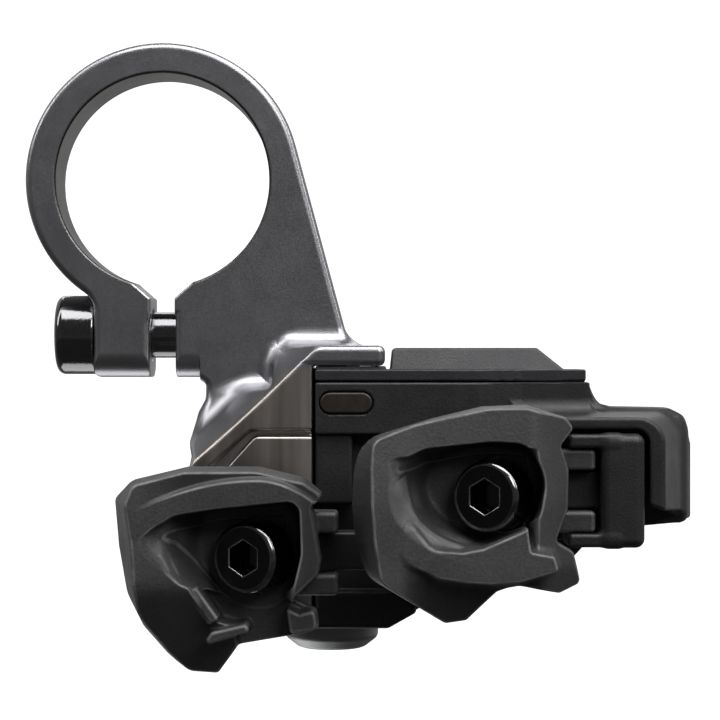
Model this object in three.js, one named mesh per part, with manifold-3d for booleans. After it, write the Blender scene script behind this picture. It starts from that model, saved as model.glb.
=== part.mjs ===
// Handlebar shift controller: a bar clamp bracket that carries a small battery powered pod
// with two thumb paddles. Millimetres, +Z up, +Y along the handlebar towards the stem,
// +X away from the rider's palm. Pieces are placed from the handlebar's centre line, and the
// whole assembly is then moved so that the row's origin is the mount point on the clamp's
// inboard face, at the top of the band.

import * as THREE from 'three';
import { mergeVertices } from 'three/addons/utils/BufferGeometryUtils.js';
import Module from 'manifold-3d';

const wasm = await Module();
wasm.setup();

// ---------- driving dimensions ----------

const BAR_RADIUS = 11.1; // 22.2 mm handlebar
const BAND_RADIUS = 14.3;
const BAND_HALF = 4.5; // half of the band's width along the bar
const CLAMP_GAP = 2.5; // open gap between the clamp's ears
const EAR_LEFT = -7.2;
const EAR_RADIUS = 4.4;
const CLAMP_BOLT_Z = -16.1;
const POD_LEFT = 16.0; // left wall of the pod's front
const POD_RIGHT = 43.9; // right end of the pod's upper front
const POD_TOP = -21.0;
const POD_BOTTOM = -46.0;
const WALL_FACE_X = 15.7; // bracket wall that the pod sits against
const FLANGE_TOP = -17.4;
const FLANGE_BOTTOM = -19.3;
const FLANGE_END = 23.1;
const FRONT_Y = -11; // pod's front face, flush with the bracket's foot
const CHANNEL_Y = -8.3; // wall behind the levers
const CHANNEL_BACK_Y = -7.1;
const SPLIT_Y = -2.4; // open back of the front housing
const COVER_FRONT_Y = -2.15;
const COVER_BACK_Y = -1.0;
const HOOK_FRONT_Y = -18; // rim of the guard around the upper lever

const MOUNT_BOLT = { x: 17.6, y: -2.5, radius: 1.5, hole: 1.7, tube: 3.6, tip: -17.1 };
const HINGE_Y = -12.8; // both lever pins stand vertically in this plane
const PIN_RADIUS = 0.8;
const BUSH_RADIUS = 1.3;
const LUG_RADIUS = 1.9;
const LUG_HALF = 1.7;
const UPPER = { pinX: 46.2, z: -31.6, headX: 32.5 };
const LOWER = { pinX: 28.0, z: -37.8, headX: 9.3 };
const BOSS_RADIUS = 3.1; // of a lever where its paddle bolt screws in
const PLUNGER_ARM = 5.5; // from a lever's pin to the plunger that it presses
const PADDLE_FRONT_Y = -27.6;
const PADDLE_WIDEST_Y = -19.5;
const PADDLE_BACK_Y = -18;
const BOLT_HEAD_Y = -24; // outer face of a paddle bolt's head
const BOLT_TILT = THREE.MathUtils.degToRad(28);

const BATTERY = { x: 34.5, z: -30.5, cell: 10, pocket: 10.3, ring: 12.3 }; // CR2032 coin cell
const DOOR_RADIUS = 11;
const DOOR_BORE = 11.2;
const CELL_Y = [-0.6, 2.6];
const SEAT_Y = 2.9;
const RING_TOP_Y = 4.7;
const DOOR_Y = [3.35, 5.0];
const DOOR_TWIST = THREE.MathUtils.degToRad(45); // from locked to the lugs' entry notches
const COVER_SCREWS = [[23.6, -43.2], [23.5, -23.1], [49.6, -26.6], [49.6, -33.0]];
const BUTTON = { x: 19.15, z: -23.1, length: 5.3, width: 2.1 };

const ROUND = 44; // facets round the battery's ring, door and cell

// ---------- solids: closed geometry in, closed geometry out ----------

/** A closed BufferGeometry as a manifold solid. */
function solid(geometry) {
  const bare = geometry.clone();
  bare.deleteAttribute('normal');
  bare.deleteAttribute('uv');
  const merged = mergeVertices(bare, 1e-4);
  const position = merged.getAttribute('position');
  return new wasm.Manifold(new wasm.Mesh({
    numProp: 3,
    vertProperties: new Float32Array(position.array),
    triVerts: new Uint32Array(merged.getIndex().array),
  }));
}

/** Box from its limits on X, Y and Z. */
function box(x, y, z) {
  const geometry = new THREE.BoxGeometry(x[1] - x[0], y[1] - y[0], z[1] - z[0]);
  geometry.translate((x[0] + x[1]) / 2, (y[0] + y[1]) / 2, (z[0] + z[1]) / 2);
  return solid(geometry);
}

/** Round rod along 'x', 'y' or 'z', centred on the two other coordinates. */
function rod(axis, centre, radius, from, to, segments = 24, endRadius = radius) {
  const geometry = new THREE.CylinderGeometry(endRadius, radius, to - from, segments);
  const middle = (from + to) / 2;
  if (axis === 'x') {
    geometry.rotateZ(-Math.PI / 2);
    geometry.translate(middle, centre[0], centre[1]);
  } else if (axis === 'y') {
    geometry.translate(centre[0], middle, centre[1]);
  } else {
    geometry.rotateX(Math.PI / 2);
    geometry.translate(centre[0], centre[1], middle);
  }
  return solid(geometry);
}

function toVectors(points) {
  return points.map(([a, b]) => new THREE.Vector2(a, b));
}

function toShape(points) {
  return new THREE.Shape(toVectors(points));
}

/** Outline in X and Z, given thickness along Y. */
function plate(points, yFrom, yTo) {
  const shape = points instanceof THREE.Shape ? points : toShape(points);
  const geometry = new THREE.ExtrudeGeometry(shape, {
    depth: yTo - yFrom, bevelEnabled: false, curveSegments: 8,
  });
  geometry.rotateX(Math.PI / 2);
  geometry.translate(0, yTo, 0);
  return solid(geometry);
}

/** Outline in X and Y, given thickness along Z. */
function slab(points, zFrom, zTo) {
  const geometry = new THREE.ExtrudeGeometry(toShape(points), {
    depth: zTo - zFrom, bevelEnabled: false,
  });
  geometry.translate(0, 0, zFrom);
  return solid(geometry);
}

/** Straight sided body between two outlines of equal point count, at two depths along Y. */
function loft(frontOutline, yFront, backOutline, yBack) {
  const clockwise = THREE.ShapeUtils.isClockWise(toVectors(frontOutline));
  const front = clockwise ? [...frontOutline].reverse() : frontOutline;
  const back = clockwise ? [...backOutline].reverse() : backOutline;
  const count = front.length;
  const positions = [];
  front.forEach(([x, z]) => positions.push(x, yFront, z));
  back.forEach(([x, z]) => positions.push(x, yBack, z));
  const corners = toVectors(front);
  const index = [];
  THREE.ShapeUtils.triangulateShape(toVectors(front), []).forEach((face) => {
    const flipped = THREE.ShapeUtils.isClockWise(face.map((i) => corners[i]));
    const [a, b, c] = flipped ? [...face].reverse() : face;
    index.push(a, b, c, a + count, c + count, b + count);
  });
  for (let i = 0; i < count; i += 1) {
    const next = (i + 1) % count;
    index.push(i, i + count, next, next, i + count, next + count);
  }
  const geometry = new THREE.BufferGeometry();
  geometry.setAttribute('position', new THREE.Float32BufferAttribute(positions, 3));
  geometry.setIndex(index);
  return solid(geometry);
}

/** Body turned about an axis along Y through (x, z); profile points are [radius, y]. */
function turned(profile, x, z, segments = ROUND) {
  const geometry = new THREE.LatheGeometry(
    profile.map(([radius, y]) => new THREE.Vector2(radius, y)), segments);
  geometry.translate(x, 0, z);
  return outward(solid(geometry));
}

/** A lathe's profile may run either way round, so its faces are turned outward here. */
function outward(body) {
  if (body.volume() > 0) return body;
  const mesh = body.getMesh();
  const flipped = mesh.triVerts.slice();
  for (let i = 0; i < flipped.length; i += 3) {
    [flipped[i + 1], flipped[i + 2]] = [flipped[i + 2], flipped[i + 1]];
  }
  return new wasm.Manifold(new wasm.Mesh({
    numProp: 3, vertProperties: mesh.vertProperties, triVerts: flipped,
  }));
}

function join(first, ...others) {
  return others.reduce((whole, next) => whole.add(next), first);
}

function cut(first, ...others) {
  return others.reduce((whole, next) => whole.subtract(next), first);
}

function toGeometry(body) {
  const mesh = body.getMesh();
  const geometry = new THREE.BufferGeometry();
  const positions = new Float32Array(mesh.vertProperties);
  geometry.setAttribute('position', new THREE.BufferAttribute(positions, 3));
  geometry.setIndex(new THREE.BufferAttribute(new Uint32Array(mesh.triVerts), 1));
  geometry.computeVertexNormals();
  return geometry;
}

/** Hexagonal key socket along an axis; size is across the flats. */
function hexSocket(axis, centre, acrossFlats, from, to) {
  return rod(axis, centre, acrossFlats / Math.sqrt(3), from, to, 6);
}

// ---------- materials ----------

const MATERIALS = {
  anodised: { color: 0x66676b, roughness: 0.42, metalness: 0.9 },
  blackSteel: { color: 0x17181a, roughness: 0.25, metalness: 0.8 },
  satinSteel: { color: 0xa9abae, roughness: 0.35, metalness: 1 },
  housing: { color: 0x202123, roughness: 0.55, metalness: 0 },
  paddle: { color: 0x3b3c3e, roughness: 0.75, metalness: 0 },
  lever: { color: 0x1a1b1d, roughness: 0.45, metalness: 0 },
  rubber: { color: 0x141414, roughness: 0.9, metalness: 0 },
  tinted: { color: 0x1f1a16, roughness: 0.2, metalness: 0 },
  board: { color: 0x14432a, roughness: 0.6, metalness: 0 },
  shield: { color: 0xb9bcc0, roughness: 0.3, metalness: 1 },
  contact: { color: 0xc8a54a, roughness: 0.3, metalness: 1 },
  bronze: { color: 0x8a6a3a, roughness: 0.5, metalness: 0.6 },
  led: { color: 0xe9ece4, roughness: 0.3, metalness: 0 },
};

const assembly = new THREE.Group();

function addPart(name, body, material) {
  const mesh = new THREE.Mesh(
    toGeometry(body), new THREE.MeshStandardMaterial(MATERIALS[material]));
  mesh.name = name;
  assembly.add(mesh);
}

// ---------- clamp bracket ----------

/** Where a line from a point outside a circle about the origin touches it, right hand side. */
function tangentPoint(radius, [x, z]) {
  const angle = Math.atan2(z, x) + Math.acos(radius / Math.hypot(x, z));
  return [radius * Math.cos(angle), radius * Math.sin(angle)];
}

function clampBracket() {
  const gap = CLAMP_GAP / 2;
  const armFoot = [19.0, -15.6];
  const arm = new THREE.Shape();
  arm.moveTo(gap, -BAR_RADIUS);
  arm.lineTo(0, 0);
  arm.lineTo(...tangentPoint(BAND_RADIUS, armFoot));
  arm.lineTo(...armFoot);
  arm.quadraticCurveTo(19.6, FLANGE_TOP, 21.2, FLANGE_TOP);
  arm.lineTo(22.4, FLANGE_TOP);
  arm.quadraticCurveTo(FLANGE_END, FLANGE_TOP, FLANGE_END, -18.1);
  arm.lineTo(FLANGE_END, FLANGE_BOTTOM);
  arm.lineTo(WALL_FACE_X, FLANGE_BOTTOM);
  arm.lineTo(WALL_FACE_X, -45);
  arm.lineTo(7, -45);
  arm.lineTo(3, -38);
  arm.lineTo(2.4, -30.2);
  arm.lineTo(2.5, -27.5);
  arm.lineTo(4.6, -22.8);
  arm.lineTo(4.6, -21.2);
  arm.lineTo(3.6, -20.6);
  arm.lineTo(gap, -20.5);
  const web = plate(arm, -BAND_HALF, BAND_HALF);

  const band = rod('y', [0, 0], BAND_RADIUS, -BAND_HALF, BAND_HALF, 60);
  const leftEar = join(
    box([EAR_LEFT, -gap], [-BAND_HALF, BAND_HALF], [CLAMP_BOLT_Z, -9]),
    rod('x', [0, CLAMP_BOLT_Z], EAR_RADIUS, EAR_LEFT, -gap, 32));

  const footBack = [[WALL_FACE_X, FLANGE_TOP], [11.8, FLANGE_TOP], [4.6, -22.8], [2.5, -27.5],
    [2.4, -30.2], [3, -38], [7, -45], [WALL_FACE_X, -45]];
  const footFront = [[WALL_FACE_X, -17.9], [15.4, -18.1], [9.2, -23.8], [4.6, -28],
    [2.6, -30], [3.2, -38], [7, -45], [WALL_FACE_X, -45]];
  const foot = loft(footFront, FRONT_Y, footBack, -BAND_HALF + 0.01);
  const flange = box([12.5, FLANGE_END], [FRONT_Y, -BAND_HALF + 0.01],
    [FLANGE_BOTTOM, FLANGE_TOP]);

  const scallop = rod('z', [MOUNT_BOLT.x, MOUNT_BOLT.y], MOUNT_BOLT.tube + 0.3, -50,
    FLANGE_BOTTOM, 40);
  const thread = rod('z', [MOUNT_BOLT.x, MOUNT_BOLT.y], MOUNT_BOLT.radius + 0.08,
    FLANGE_BOTTOM - 1, MOUNT_BOLT.tip + 0.15);
  const bore = rod('y', [0, 0], BAR_RADIUS, -BAND_HALF - 1, BAND_HALF + 1, 60);
  const split = box([-gap, gap], [-BAND_HALF - 1, BAND_HALF + 1], [-24, -9]);
  const leadIn = plate([[-3.1, -10.6], [3.1, -10.6], [gap, -12.4], [-gap, -12.4]],
    -BAND_HALF - 1, BAND_HALF + 1);
  const earHole = rod('x', [0, CLAMP_BOLT_Z], 2.75, EAR_LEFT - 1, 0);
  const earThread = rod('x', [0, CLAMP_BOLT_Z], 2.5, 0, 10.5);
  const spotFace = rod('x', [0, CLAMP_BOLT_Z], EAR_RADIUS, -13, EAR_LEFT, 32);
  const backPocket = box([6.2, 11.6], [-5.5, BAND_HALF + 1], [-42.5, -25.5]);
  return cut(join(band, web, leftEar, foot, flange),
    bore, split, leadIn, scallop, thread, earHole, earThread, spotFace, backPocket);
}

function clampBolt() {
  const head = rod('x', [0, CLAMP_BOLT_Z], 4.2, -11.1, EAR_LEFT - 0.05, 36);
  const crown = rod('x', [0, CLAMP_BOLT_Z], 3.7, -11.7, -11.1, 36, 4.2);
  const shank = rod('x', [0, CLAMP_BOLT_Z], 2.42, EAR_LEFT - 0.1, 9.5);
  return cut(join(crown, head, shank), hexSocket('x', [0, CLAMP_BOLT_Z], 4, -12, -9.2));
}

function mountingBolt() {
  const centre = [MOUNT_BOLT.x, MOUNT_BOLT.y];
  const headTop = POD_BOTTOM - 0.05;
  const head = join(
    rod('z', centre, 4.85, -47.6, headTop, 40),
    rod('z', centre, 3.3, -48.8, -47.6, 40, 4.85));
  const shank = rod('z', centre, MOUNT_BOLT.radius, headTop - 0.1, MOUNT_BOLT.tip);
  return cut(join(head, shank), hexSocket('z', centre, 3, -49, -47.2));
}

// ---------- pod housing ----------

// The pod's outline from the front, clockwise from its top left corner.
const POD_OUTLINE = [[POD_LEFT, POD_TOP], [POD_RIGHT, POD_TOP], [44.4, -22.2], [45, -23.3],
  [46.1, -23.8], [52.1, -24], [53.7, -24.7], [54.5, -25.9], [54.8, -27.5], [55, -35.0],
  [43.5, -36.3], [39.7, -37.6], [34.5, -41], [26.6, -44.2], [23.4, POD_BOTTOM],
  [POD_LEFT, POD_BOTTOM]];
const POD_CAVITY = [[20.8, -22.3], [42.8, -22.3], [44.3, -25.2], [53, -25.6], [53.4, -33.7],
  [43, -34.9], [38.8, -36.4], [33.8, -39.7], [26, -42.8], [24.5, -44.4], [20.8, -44.4]];
const HOOK_FRONT = [[37, -24.2], [48.6, -24.2], [50, -24.9], [50.6, -26.4], [50.6, -35.2],
  [49.1, -35.2], [49.1, -25.4], [37, -25.4]];
const HOOK_BACK = [[37, -23.9], [51.2, -23.9], [52.9, -24.7], [53.6, -26.4], [53.6, -35.2],
  [52.1, -35.2], [52.1, -25.4], [37, -25.4]];

function pill(centre, length, width) {
  const reach = (length - width) / 2;
  const shape = new THREE.Shape();
  shape.absarc(centre.x + reach, centre.z, width / 2, -Math.PI / 2, Math.PI / 2);
  shape.absarc(centre.x - reach, centre.z, width / 2, Math.PI / 2, Math.PI * 1.5);
  return shape;
}

function hingeLug(lever) {
  const { pinX, z } = lever;
  return join(
    rod('z', [pinX, HINGE_Y], LUG_RADIUS, z - LUG_HALF, z + LUG_HALF),
    box([pinX - LUG_RADIUS, pinX + LUG_RADIUS], [HINGE_Y, CHANNEL_Y + 0.2],
      [z - LUG_HALF, z + LUG_HALF]));
}

function frontHousing() {
  const body = plate(POD_OUTLINE, CHANNEL_Y, SPLIT_Y);
  const upperFront = plate([[POD_LEFT, POD_TOP], [POD_RIGHT, POD_TOP], [POD_RIGHT, -25.4],
    [37, -25.4], [36, -26.3], [POD_LEFT, -26.3]], FRONT_Y, CHANNEL_Y + 0.1);
  const cheek = box([POD_LEFT, 19.8], [FRONT_Y + 0.6, CHANNEL_Y + 0.1], [-33.4, -26.2]);
  const shelf = plate([[POD_LEFT, -42.2], [24.6, -42.2], [26.6, -44.2], [23.4, POD_BOTTOM],
    [POD_LEFT, POD_BOTTOM]], FRONT_Y, CHANNEL_Y + 0.1);
  const hook = loft(HOOK_FRONT, HOOK_FRONT_Y, HOOK_BACK, CHANNEL_Y + 0.1);
  const boltTube = rod('z', [MOUNT_BOLT.x, MOUNT_BOLT.y], MOUNT_BOLT.tube, POD_BOTTOM,
    FLANGE_BOTTOM - 0.3, 40);

  const cavity = plate(POD_CAVITY, CHANNEL_BACK_Y, SPLIT_Y + 1);
  const upperCavity = box([17.2, 42.8], [FRONT_Y + 1.3, CHANNEL_BACK_Y + 0.1],
    [-25.1, -22.3]);
  const posts = COVER_SCREWS.map(([x, z]) => rod('y', [x, z], 1.7, CHANNEL_BACK_Y - 0.1,
    SPLIT_Y, 20));
  const screwHoles = COVER_SCREWS.map(([x, z]) => rod('y', [x, z], 0.85, -6.2, SPLIT_Y + 1, 16));
  const boltHole = rod('z', [MOUNT_BOLT.x, MOUNT_BOLT.y], MOUNT_BOLT.hole, -60, 0);
  const buttonHole = plate(pill(BUTTON, BUTTON.length + 0.2, BUTTON.width + 0.2), FRONT_Y - 1,
    FRONT_Y + 2);
  const levers = [UPPER, LOWER];
  const lugs = levers.map(hingeLug);
  const bushHoles = levers.map(({ pinX, z }) => rod('z', [pinX, HINGE_Y], BUSH_RADIUS + 0.03,
    z - 3, z + 3));
  const plungerHoles = levers.map(({ pinX, z }) => rod('y', [pinX - PLUNGER_ARM, z], 2.3,
    CHANNEL_Y - 1, CHANNEL_BACK_Y + 1));

  const shell = cut(join(body, upperFront, cheek, shelf, hook), cavity, upperCavity);
  return cut(join(shell, boltTube, ...posts, ...lugs),
    boltHole, buttonHole, ...bushHoles, ...plungerHoles, ...screwHoles);
}

function insetOutline(points, centre, amount) {
  return points.map(([x, z]) => {
    const reach = Math.hypot(x - centre[0], z - centre[1]);
    const keep = (reach - amount) / reach;
    return [centre[0] + (x - centre[0]) * keep, centre[1] + (z - centre[1]) * keep];
  });
}

function rearCover() {
  const rearPlate = plate(insetOutline(POD_OUTLINE, [34, -31], 0.3), COVER_FRONT_Y,
    COVER_BACK_Y);
  const ring = rod('y', [BATTERY.x, BATTERY.z], BATTERY.ring, COVER_FRONT_Y, RING_TOP_Y, ROUND);
  const topPlate = box([POD_LEFT, 43.5], [FRONT_Y, COVER_BACK_Y], [POD_TOP + 0.12, -19.7]);
  const rise = plate([[23.6, -20], [23.6, -17.5], [38.6, -17.5], [41, -19.8], [41, -20]],
    FRONT_Y + 0.1, COVER_BACK_Y);
  const hollow = box([24.8, 38.2], [FRONT_Y + 1.3, COVER_FRONT_Y - 0.2], [-22, -18.5]);
  const tubeGap = rod('z', [MOUNT_BOLT.x, MOUNT_BOLT.y], MOUNT_BOLT.tube + 0.3, -60, 0, 40);
  const tubeSide = box([10, MOUNT_BOLT.x], [-6.8, 3], [-60, POD_TOP - 0.3]);
  const { x, z, pocket } = BATTERY;
  const cellPocket = rod('y', [x, z], pocket, COVER_BACK_Y, 10, ROUND);
  const doorBore = rod('y', [x, z], DOOR_BORE, SEAT_Y, 10, ROUND);
  const lugGroove = rod('y', [x, z], 11.7, 3.45, 4.15, ROUND);
  const entries = doorLugs(0.25, 3.45, 6, DOOR_TWIST);
  const clipNotch = box([x - 1.5, x + 1.5], [COVER_BACK_Y - 0.01, SEAT_Y],
    [z + 9, z + 11.2]);
  const feedThroughs = [box([x - 0.6, x + 0.6], [-4, 0], [z + 10.1, z + 10.9]),
    box([x - 0.6, x + 0.6], [-4, 0], [z - 8.4, z - 7.6])];
  const holes = COVER_SCREWS.map(([sx, sz]) => join(
    rod('y', [sx, sz], 0.9, -4, 2, 16), rod('y', [sx, sz], 1.6, COVER_BACK_Y - 0.5, 6, 20)));
  return cut(join(rearPlate, ring, topPlate, rise), hollow, tubeGap, tubeSide, cellPocket,
    doorBore, lugGroove, ...entries, clipNotch, ...feedThroughs, ...holes);
}

/** The door's three bayonet lugs, or the larger notches that let them in when it is turned. */
function doorLugs(clearance, yFrom, yTo, turn = 0) {
  return [0, 1, 2].map((i) => {
    const angle = turn + i * (Math.PI * 2 / 3);
    const geometry = new THREE.BoxGeometry(2 + clearance * 2, yTo - yFrom,
      2.2 + clearance * 2);
    geometry.translate(0, (yFrom + yTo) / 2, DOOR_RADIUS - 0.75);
    geometry.rotateY(angle);
    geometry.translate(BATTERY.x, 0, BATTERY.z);
    return solid(geometry);
  });
}

function batteryDoor() {
  const { x, z } = BATTERY;
  const lid = turned([[0, 2.75], [9.4, 2.75], [9.4, DOOR_Y[0]], [DOOR_RADIUS, DOOR_Y[0]],
    [DOOR_RADIUS, 4.7], [10.7, DOOR_Y[1]], [0, DOOR_Y[1]]], x, z, ROUND);
  const lugs = doorLugs(0, 3.5, 4.1);
  const trimmed = lugs.map((lug) => lug.intersect(rod('y', [x, z], 11.5, 3, 5, ROUND)));
  const coinSlot = box([x - 6.5, x + 6.5], [4.1, 6], [z - 0.9, z + 0.9]);
  return cut(join(lid, ...trimmed), coinSlot);
}

function coverGasket() {
  const outer = insetOutline(POD_OUTLINE, [34, -31], 1.0);
  const inner = insetOutline(POD_OUTLINE, [34, -31], 1.6);
  const lip = cut(plate(outer, SPLIT_Y + 0.03, COVER_FRONT_Y - 0.03),
    plate(inner, SPLIT_Y - 1, 0));
  const tube = rod('z', [MOUNT_BOLT.x, MOUNT_BOLT.y], MOUNT_BOLT.tube + 0.6, -60, 0, 40);
  const left = box([10, MOUNT_BOLT.x], [-6, 3], [-60, 0]);
  const side = box([22.3, 22.9], [SPLIT_Y + 0.03, COVER_FRONT_Y - 0.03], [-44.9, -21.9]);
  const screws = COVER_SCREWS.map(([x, z]) => rod('y', [x, z], 1.1, -6, 2, 16));
  return cut(join(cut(lip, tube, left), side), ...screws);
}

function coverScrew([x, z]) {
  const head = rod('y', [x, z], 1.45, COVER_BACK_Y - 0.45, COVER_BACK_Y + 0.35, 20);
  const shank = rod('y', [x, z], 0.8, -5.8, COVER_BACK_Y - 0.4, 12);
  return cut(join(head, shank), hexSocket('y', [x, z], 1.1, COVER_BACK_Y - 0.2, 2));
}

// ---------- inside the pod ----------

function negativeContact() {
  const { x, z } = BATTERY;
  const leaf = box([x - 1, x + 1], [-0.95, -0.72], [z - 8.2, z + 2]);
  const tail = box([x - 0.4, x + 0.4], [-4.55, -0.72], [z - 8.2, z - 7.9]);
  return join(leaf, tail);
}

function positiveContact() {
  const { x, z } = BATTERY;
  const clip = box([x - 0.9, x + 0.9], [-0.7, 2.4], [z + 10.15, z + 10.4]);
  const foot = box([x - 0.4, x + 0.4], [-4.55, -0.6], [z + 10.3, z + 10.6]);
  return join(clip, foot);
}

const BOARD_OUTLINE = [[21.3, -23.2], [42.6, -23.2], [44.6, -26.2], [52.4, -26.3],
  [52.6, -33.1], [42.6, -34.2], [38.4, -35.9], [33.4, -39], [25.6, -42], [21.3, -43.4]];

function mainBoard() {
  const posts = COVER_SCREWS.map(([x, z]) => rod('y', [x, z], 2, -7, -3, 20));
  const tubeRoom = rod('z', [MOUNT_BOLT.x, MOUNT_BOLT.y], MOUNT_BOLT.tube + 0.2, -60, 0, 40);
  return cut(plate(BOARD_OUTLINE, -5.6, -4.6), tubeRoom, ...posts);
}

function pressSwitch(lever) {
  const x = lever.pinX - PLUNGER_ARM;
  const body = box([x - 1.6, x + 1.6], [-6.95, -5.65], [lever.z - 1.6, lever.z + 1.6]);
  return cut(body, rod('y', [x, lever.z], 0.85, -8, -6.0, 16));
}

function pressSwitchCap(lever) {
  return rod('y', [lever.pinX - PLUNGER_ARM, lever.z], 0.75, -7.4, -6.55, 16);
}

function plunger(lever) {
  const centre = [lever.pinX - PLUNGER_ARM, lever.z];
  return join(rod('y', centre, 0.9, -11.05, -7.45, 20),
    rod('y', centre, 1.3, -7.8, -7.45, 20));
}

function plungerSeal(lever) {
  const profile = [[0.97, -8.9], [1.7, -8.7], [2.2, CHANNEL_Y + 0.05], [2.2, -7.9],
    [1.4, -7.9], [0.97, -8.3], [0.97, -8.9]];
  return turned(profile, lever.pinX - PLUNGER_ARM, lever.z, 20);
}

function functionButton() {
  const { x, z, length, width } = BUTTON;
  return join(
    plate(pill(BUTTON, length, width), FRONT_Y - 0.15, FRONT_Y + 1.5),
    box([x - 1.9, x + 3.2], [FRONT_Y + 1.35, FRONT_Y + 1.75], [z - 1.4, z + 0.75]),
    rod('y', [x, z], 0.5, FRONT_Y + 1.6, -8.6, 12));
}

function functionSwitch() {
  const { x, z } = BUTTON;
  const body = box([x - 1.5, x + 1.5], [-8.85, -8.0], [z - 1.5, z + 0.75]);
  return cut(body, rod('y', [x, z], 0.6, -9, -8.1, 12));
}

function functionBoard() {
  const { z } = BUTTON;
  return box([17.4, 42], [-7.95, -7.45], [z - 1.8, z + 0.7]);
}

function statusLed() {
  const { z } = BUTTON;
  return box([22.6, 23.8], [-8.6, -8.0], [z - 1.0, z + 0.2]);
}

function radioModule() {
  return box([44.8, 47.6], [-4.55, -2.9], [-32.6, -27.2]);
}

function antenna() {
  return box([25.4, 37.6], [-9.2, -2.8], [-19.5, -18.9]);
}

// ---------- levers ----------

function upperLever() {
  const { pinX, z, headX } = UPPER;
  const block = box([pinX - 2, pinX + 2.3], [-19.5, -11.4], [z - 5.6, z + 5.6]);
  const flanges = [-1, 1].map((side) => {
    const edges = [z + side * 4.25, z + side * 5.6].sort((a, b) => a - b);
    return box([pinX - 6.2, pinX - 1.9], [-17.7, -11.8], edges);
  });
  const neck = slab([[headX + 2, -17.7], [pinX - 1.9, -17.7], [pinX - 1.9, -11.2],
    [headX + 7.7, -11.2], [headX + 6.5, -13.3], [headX + 3.2, -13.3]], z - 1.9, z + 1.9);
  return finishLever(join(block, ...flanges, neck), UPPER);
}

function lowerLever() {
  const { pinX, z, headX } = LOWER;
  const block = box([pinX - 4.5, pinX + 2.3], [-15.9, -11.4], [z - 4.1, z + 4.1]);
  const neck = slab([[headX + 2, -17.7], [headX + 7.2, -17.7], [headX + 8.9, -15.2],
    [pinX - 4.4, -15.2], [pinX - 4.4, -11.2], [headX + 7.7, -11.2], [headX + 6.5, -13.3],
    [headX + 3.2, -13.3]], z - 1.9, z + 1.9);
  return finishLever(join(block, neck), LOWER);
}

/** Tilted boss for the paddle bolt, and the slot and holes for the hinge. */
function finishLever(body, lever) {
  const { pinX, z } = lever;
  const boss = tilted(rod('y', [0, 0], BOSS_RADIUS, 5.5, 10.5, 28), lever);
  const bossFront = box([0, 60], [-40, -17.7], [-60, 0]);
  const slot = box([pinX - 2.15, pinX + 4], [-15, 0], [z - 2.1, z + 3.9]);
  const pinHole = rod('z', [pinX, HINGE_Y], PIN_RADIUS + 0.03, z - 9, z + 9);
  const thread = tilted(rod('y', [0, 0], 2.1, 4, 12, 20), lever);
  return cut(join(body, cut(boss, bossFront)), slot, pinHole, thread);
}

/** Turn a body made along +Y from the origin onto a lever's paddle bolt axis. */
function tilted(body, lever) {
  const place = new THREE.Matrix4().makeRotationZ(-BOLT_TILT);
  place.setPosition(lever.headX, BOLT_HEAD_Y, lever.z);
  return body.transform(place.elements);
}

function hingePin(lever) {
  return rod('z', [lever.pinX, HINGE_Y], PIN_RADIUS, lever.z - 3.9, lever.z + 3.98, 20);
}

function hingeBush(lever) {
  const centre = [lever.pinX, HINGE_Y];
  const span = [lever.z - LUG_HALF - 0.15, lever.z + LUG_HALF + 0.15];
  return cut(rod('z', centre, BUSH_RADIUS, ...span, 24),
    rod('z', centre, PIN_RADIUS + 0.03, lever.z - 5, lever.z + 5));
}

/** Torsion spring coiled round the hinge pin above the lug, with one leg each way. */
function returnSpring(lever) {
  const coils = 3;
  const perCoil = 9;
  const wire = 0.2;
  const radius = 1.25;
  const low = lever.z + LUG_HALF + 0.5;
  const points = [new THREE.Vector3(lever.pinX + radius, CHANNEL_Y - 0.55, low)];
  const steps = coils * perCoil;
  for (let i = 0; i <= steps; i += 1) {
    const angle = (i / perCoil) * Math.PI * 2;
    points.push(new THREE.Vector3(lever.pinX + radius * Math.cos(angle),
      HINGE_Y + radius * Math.sin(angle), low + (i / steps) * 1.4));
  }
  const path = new THREE.CatmullRomCurve3(points);
  const round = new THREE.Shape();
  round.absarc(0, 0, wire, 0, Math.PI * 2);
  const geometry = new THREE.ExtrudeGeometry(round, {
    steps: steps + 4, extrudePath: path, curveSegments: 3, bevelEnabled: false,
  });
  return outward(solid(geometry));
}

// ---------- paddles ----------

// Outlines from the front, as offsets in X and Z from the centre of the paddle's bolt head.
const UPPER_PADDLE = [[-12.6, 1.2], [-12.7, -1.2], [-12.4, -4.9], [-11.4, -7.6], [-9.8, -9.3],
  [-5.8, -11.5], [-4.1, -12.4], [-3.1, -12.5], [-1.6, -12], [1.2, -9.2], [3, -8.8],
  [7, -9.6], [9, -9.2], [9.4, -8.2], [8.7, -5.9], [6.7, -4.6], [8.2, -1.6], [8.3, 2.2],
  [7.5, 4.6], [8.8, 6.3], [8, 7.4], [4.3, 8.6], [0, 8.5], [-5, 7.3], [-9, 6.3],
  [-11.7, 4.5]];
const UPPER_POCKET = [[-8.9, 1.2], [-6.5, 3.7], [-2.8, 4.4], [5.6, 4.6], [6.3, 0],
  [4.6, -3.4], [1.4, -4.9], [-2, -5.6], [-4.4, -5.3], [-7.4, -3.4]];
const LOWER_PADDLE = [[-12.4, 5.7], [-11.2, 7.2], [-5.6, 8.5], [1.2, 8.4], [6.2, 8.4],
  [7.9, 6.3], [6.6, 5.3], [7.5, -0.3], [7.4, -1.3], [4.7, -4], [4.8, -4.7], [6.9, -5.6],
  [7.2, -6.9], [6.2, -7.5], [-0.4, -8.7], [-1.6, -10.4], [-2.6, -11.1], [-5, -11],
  [-7.5, -9.2], [-9.6, -6.8], [-11.2, -3.6], [-12.1, 1]];
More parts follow.
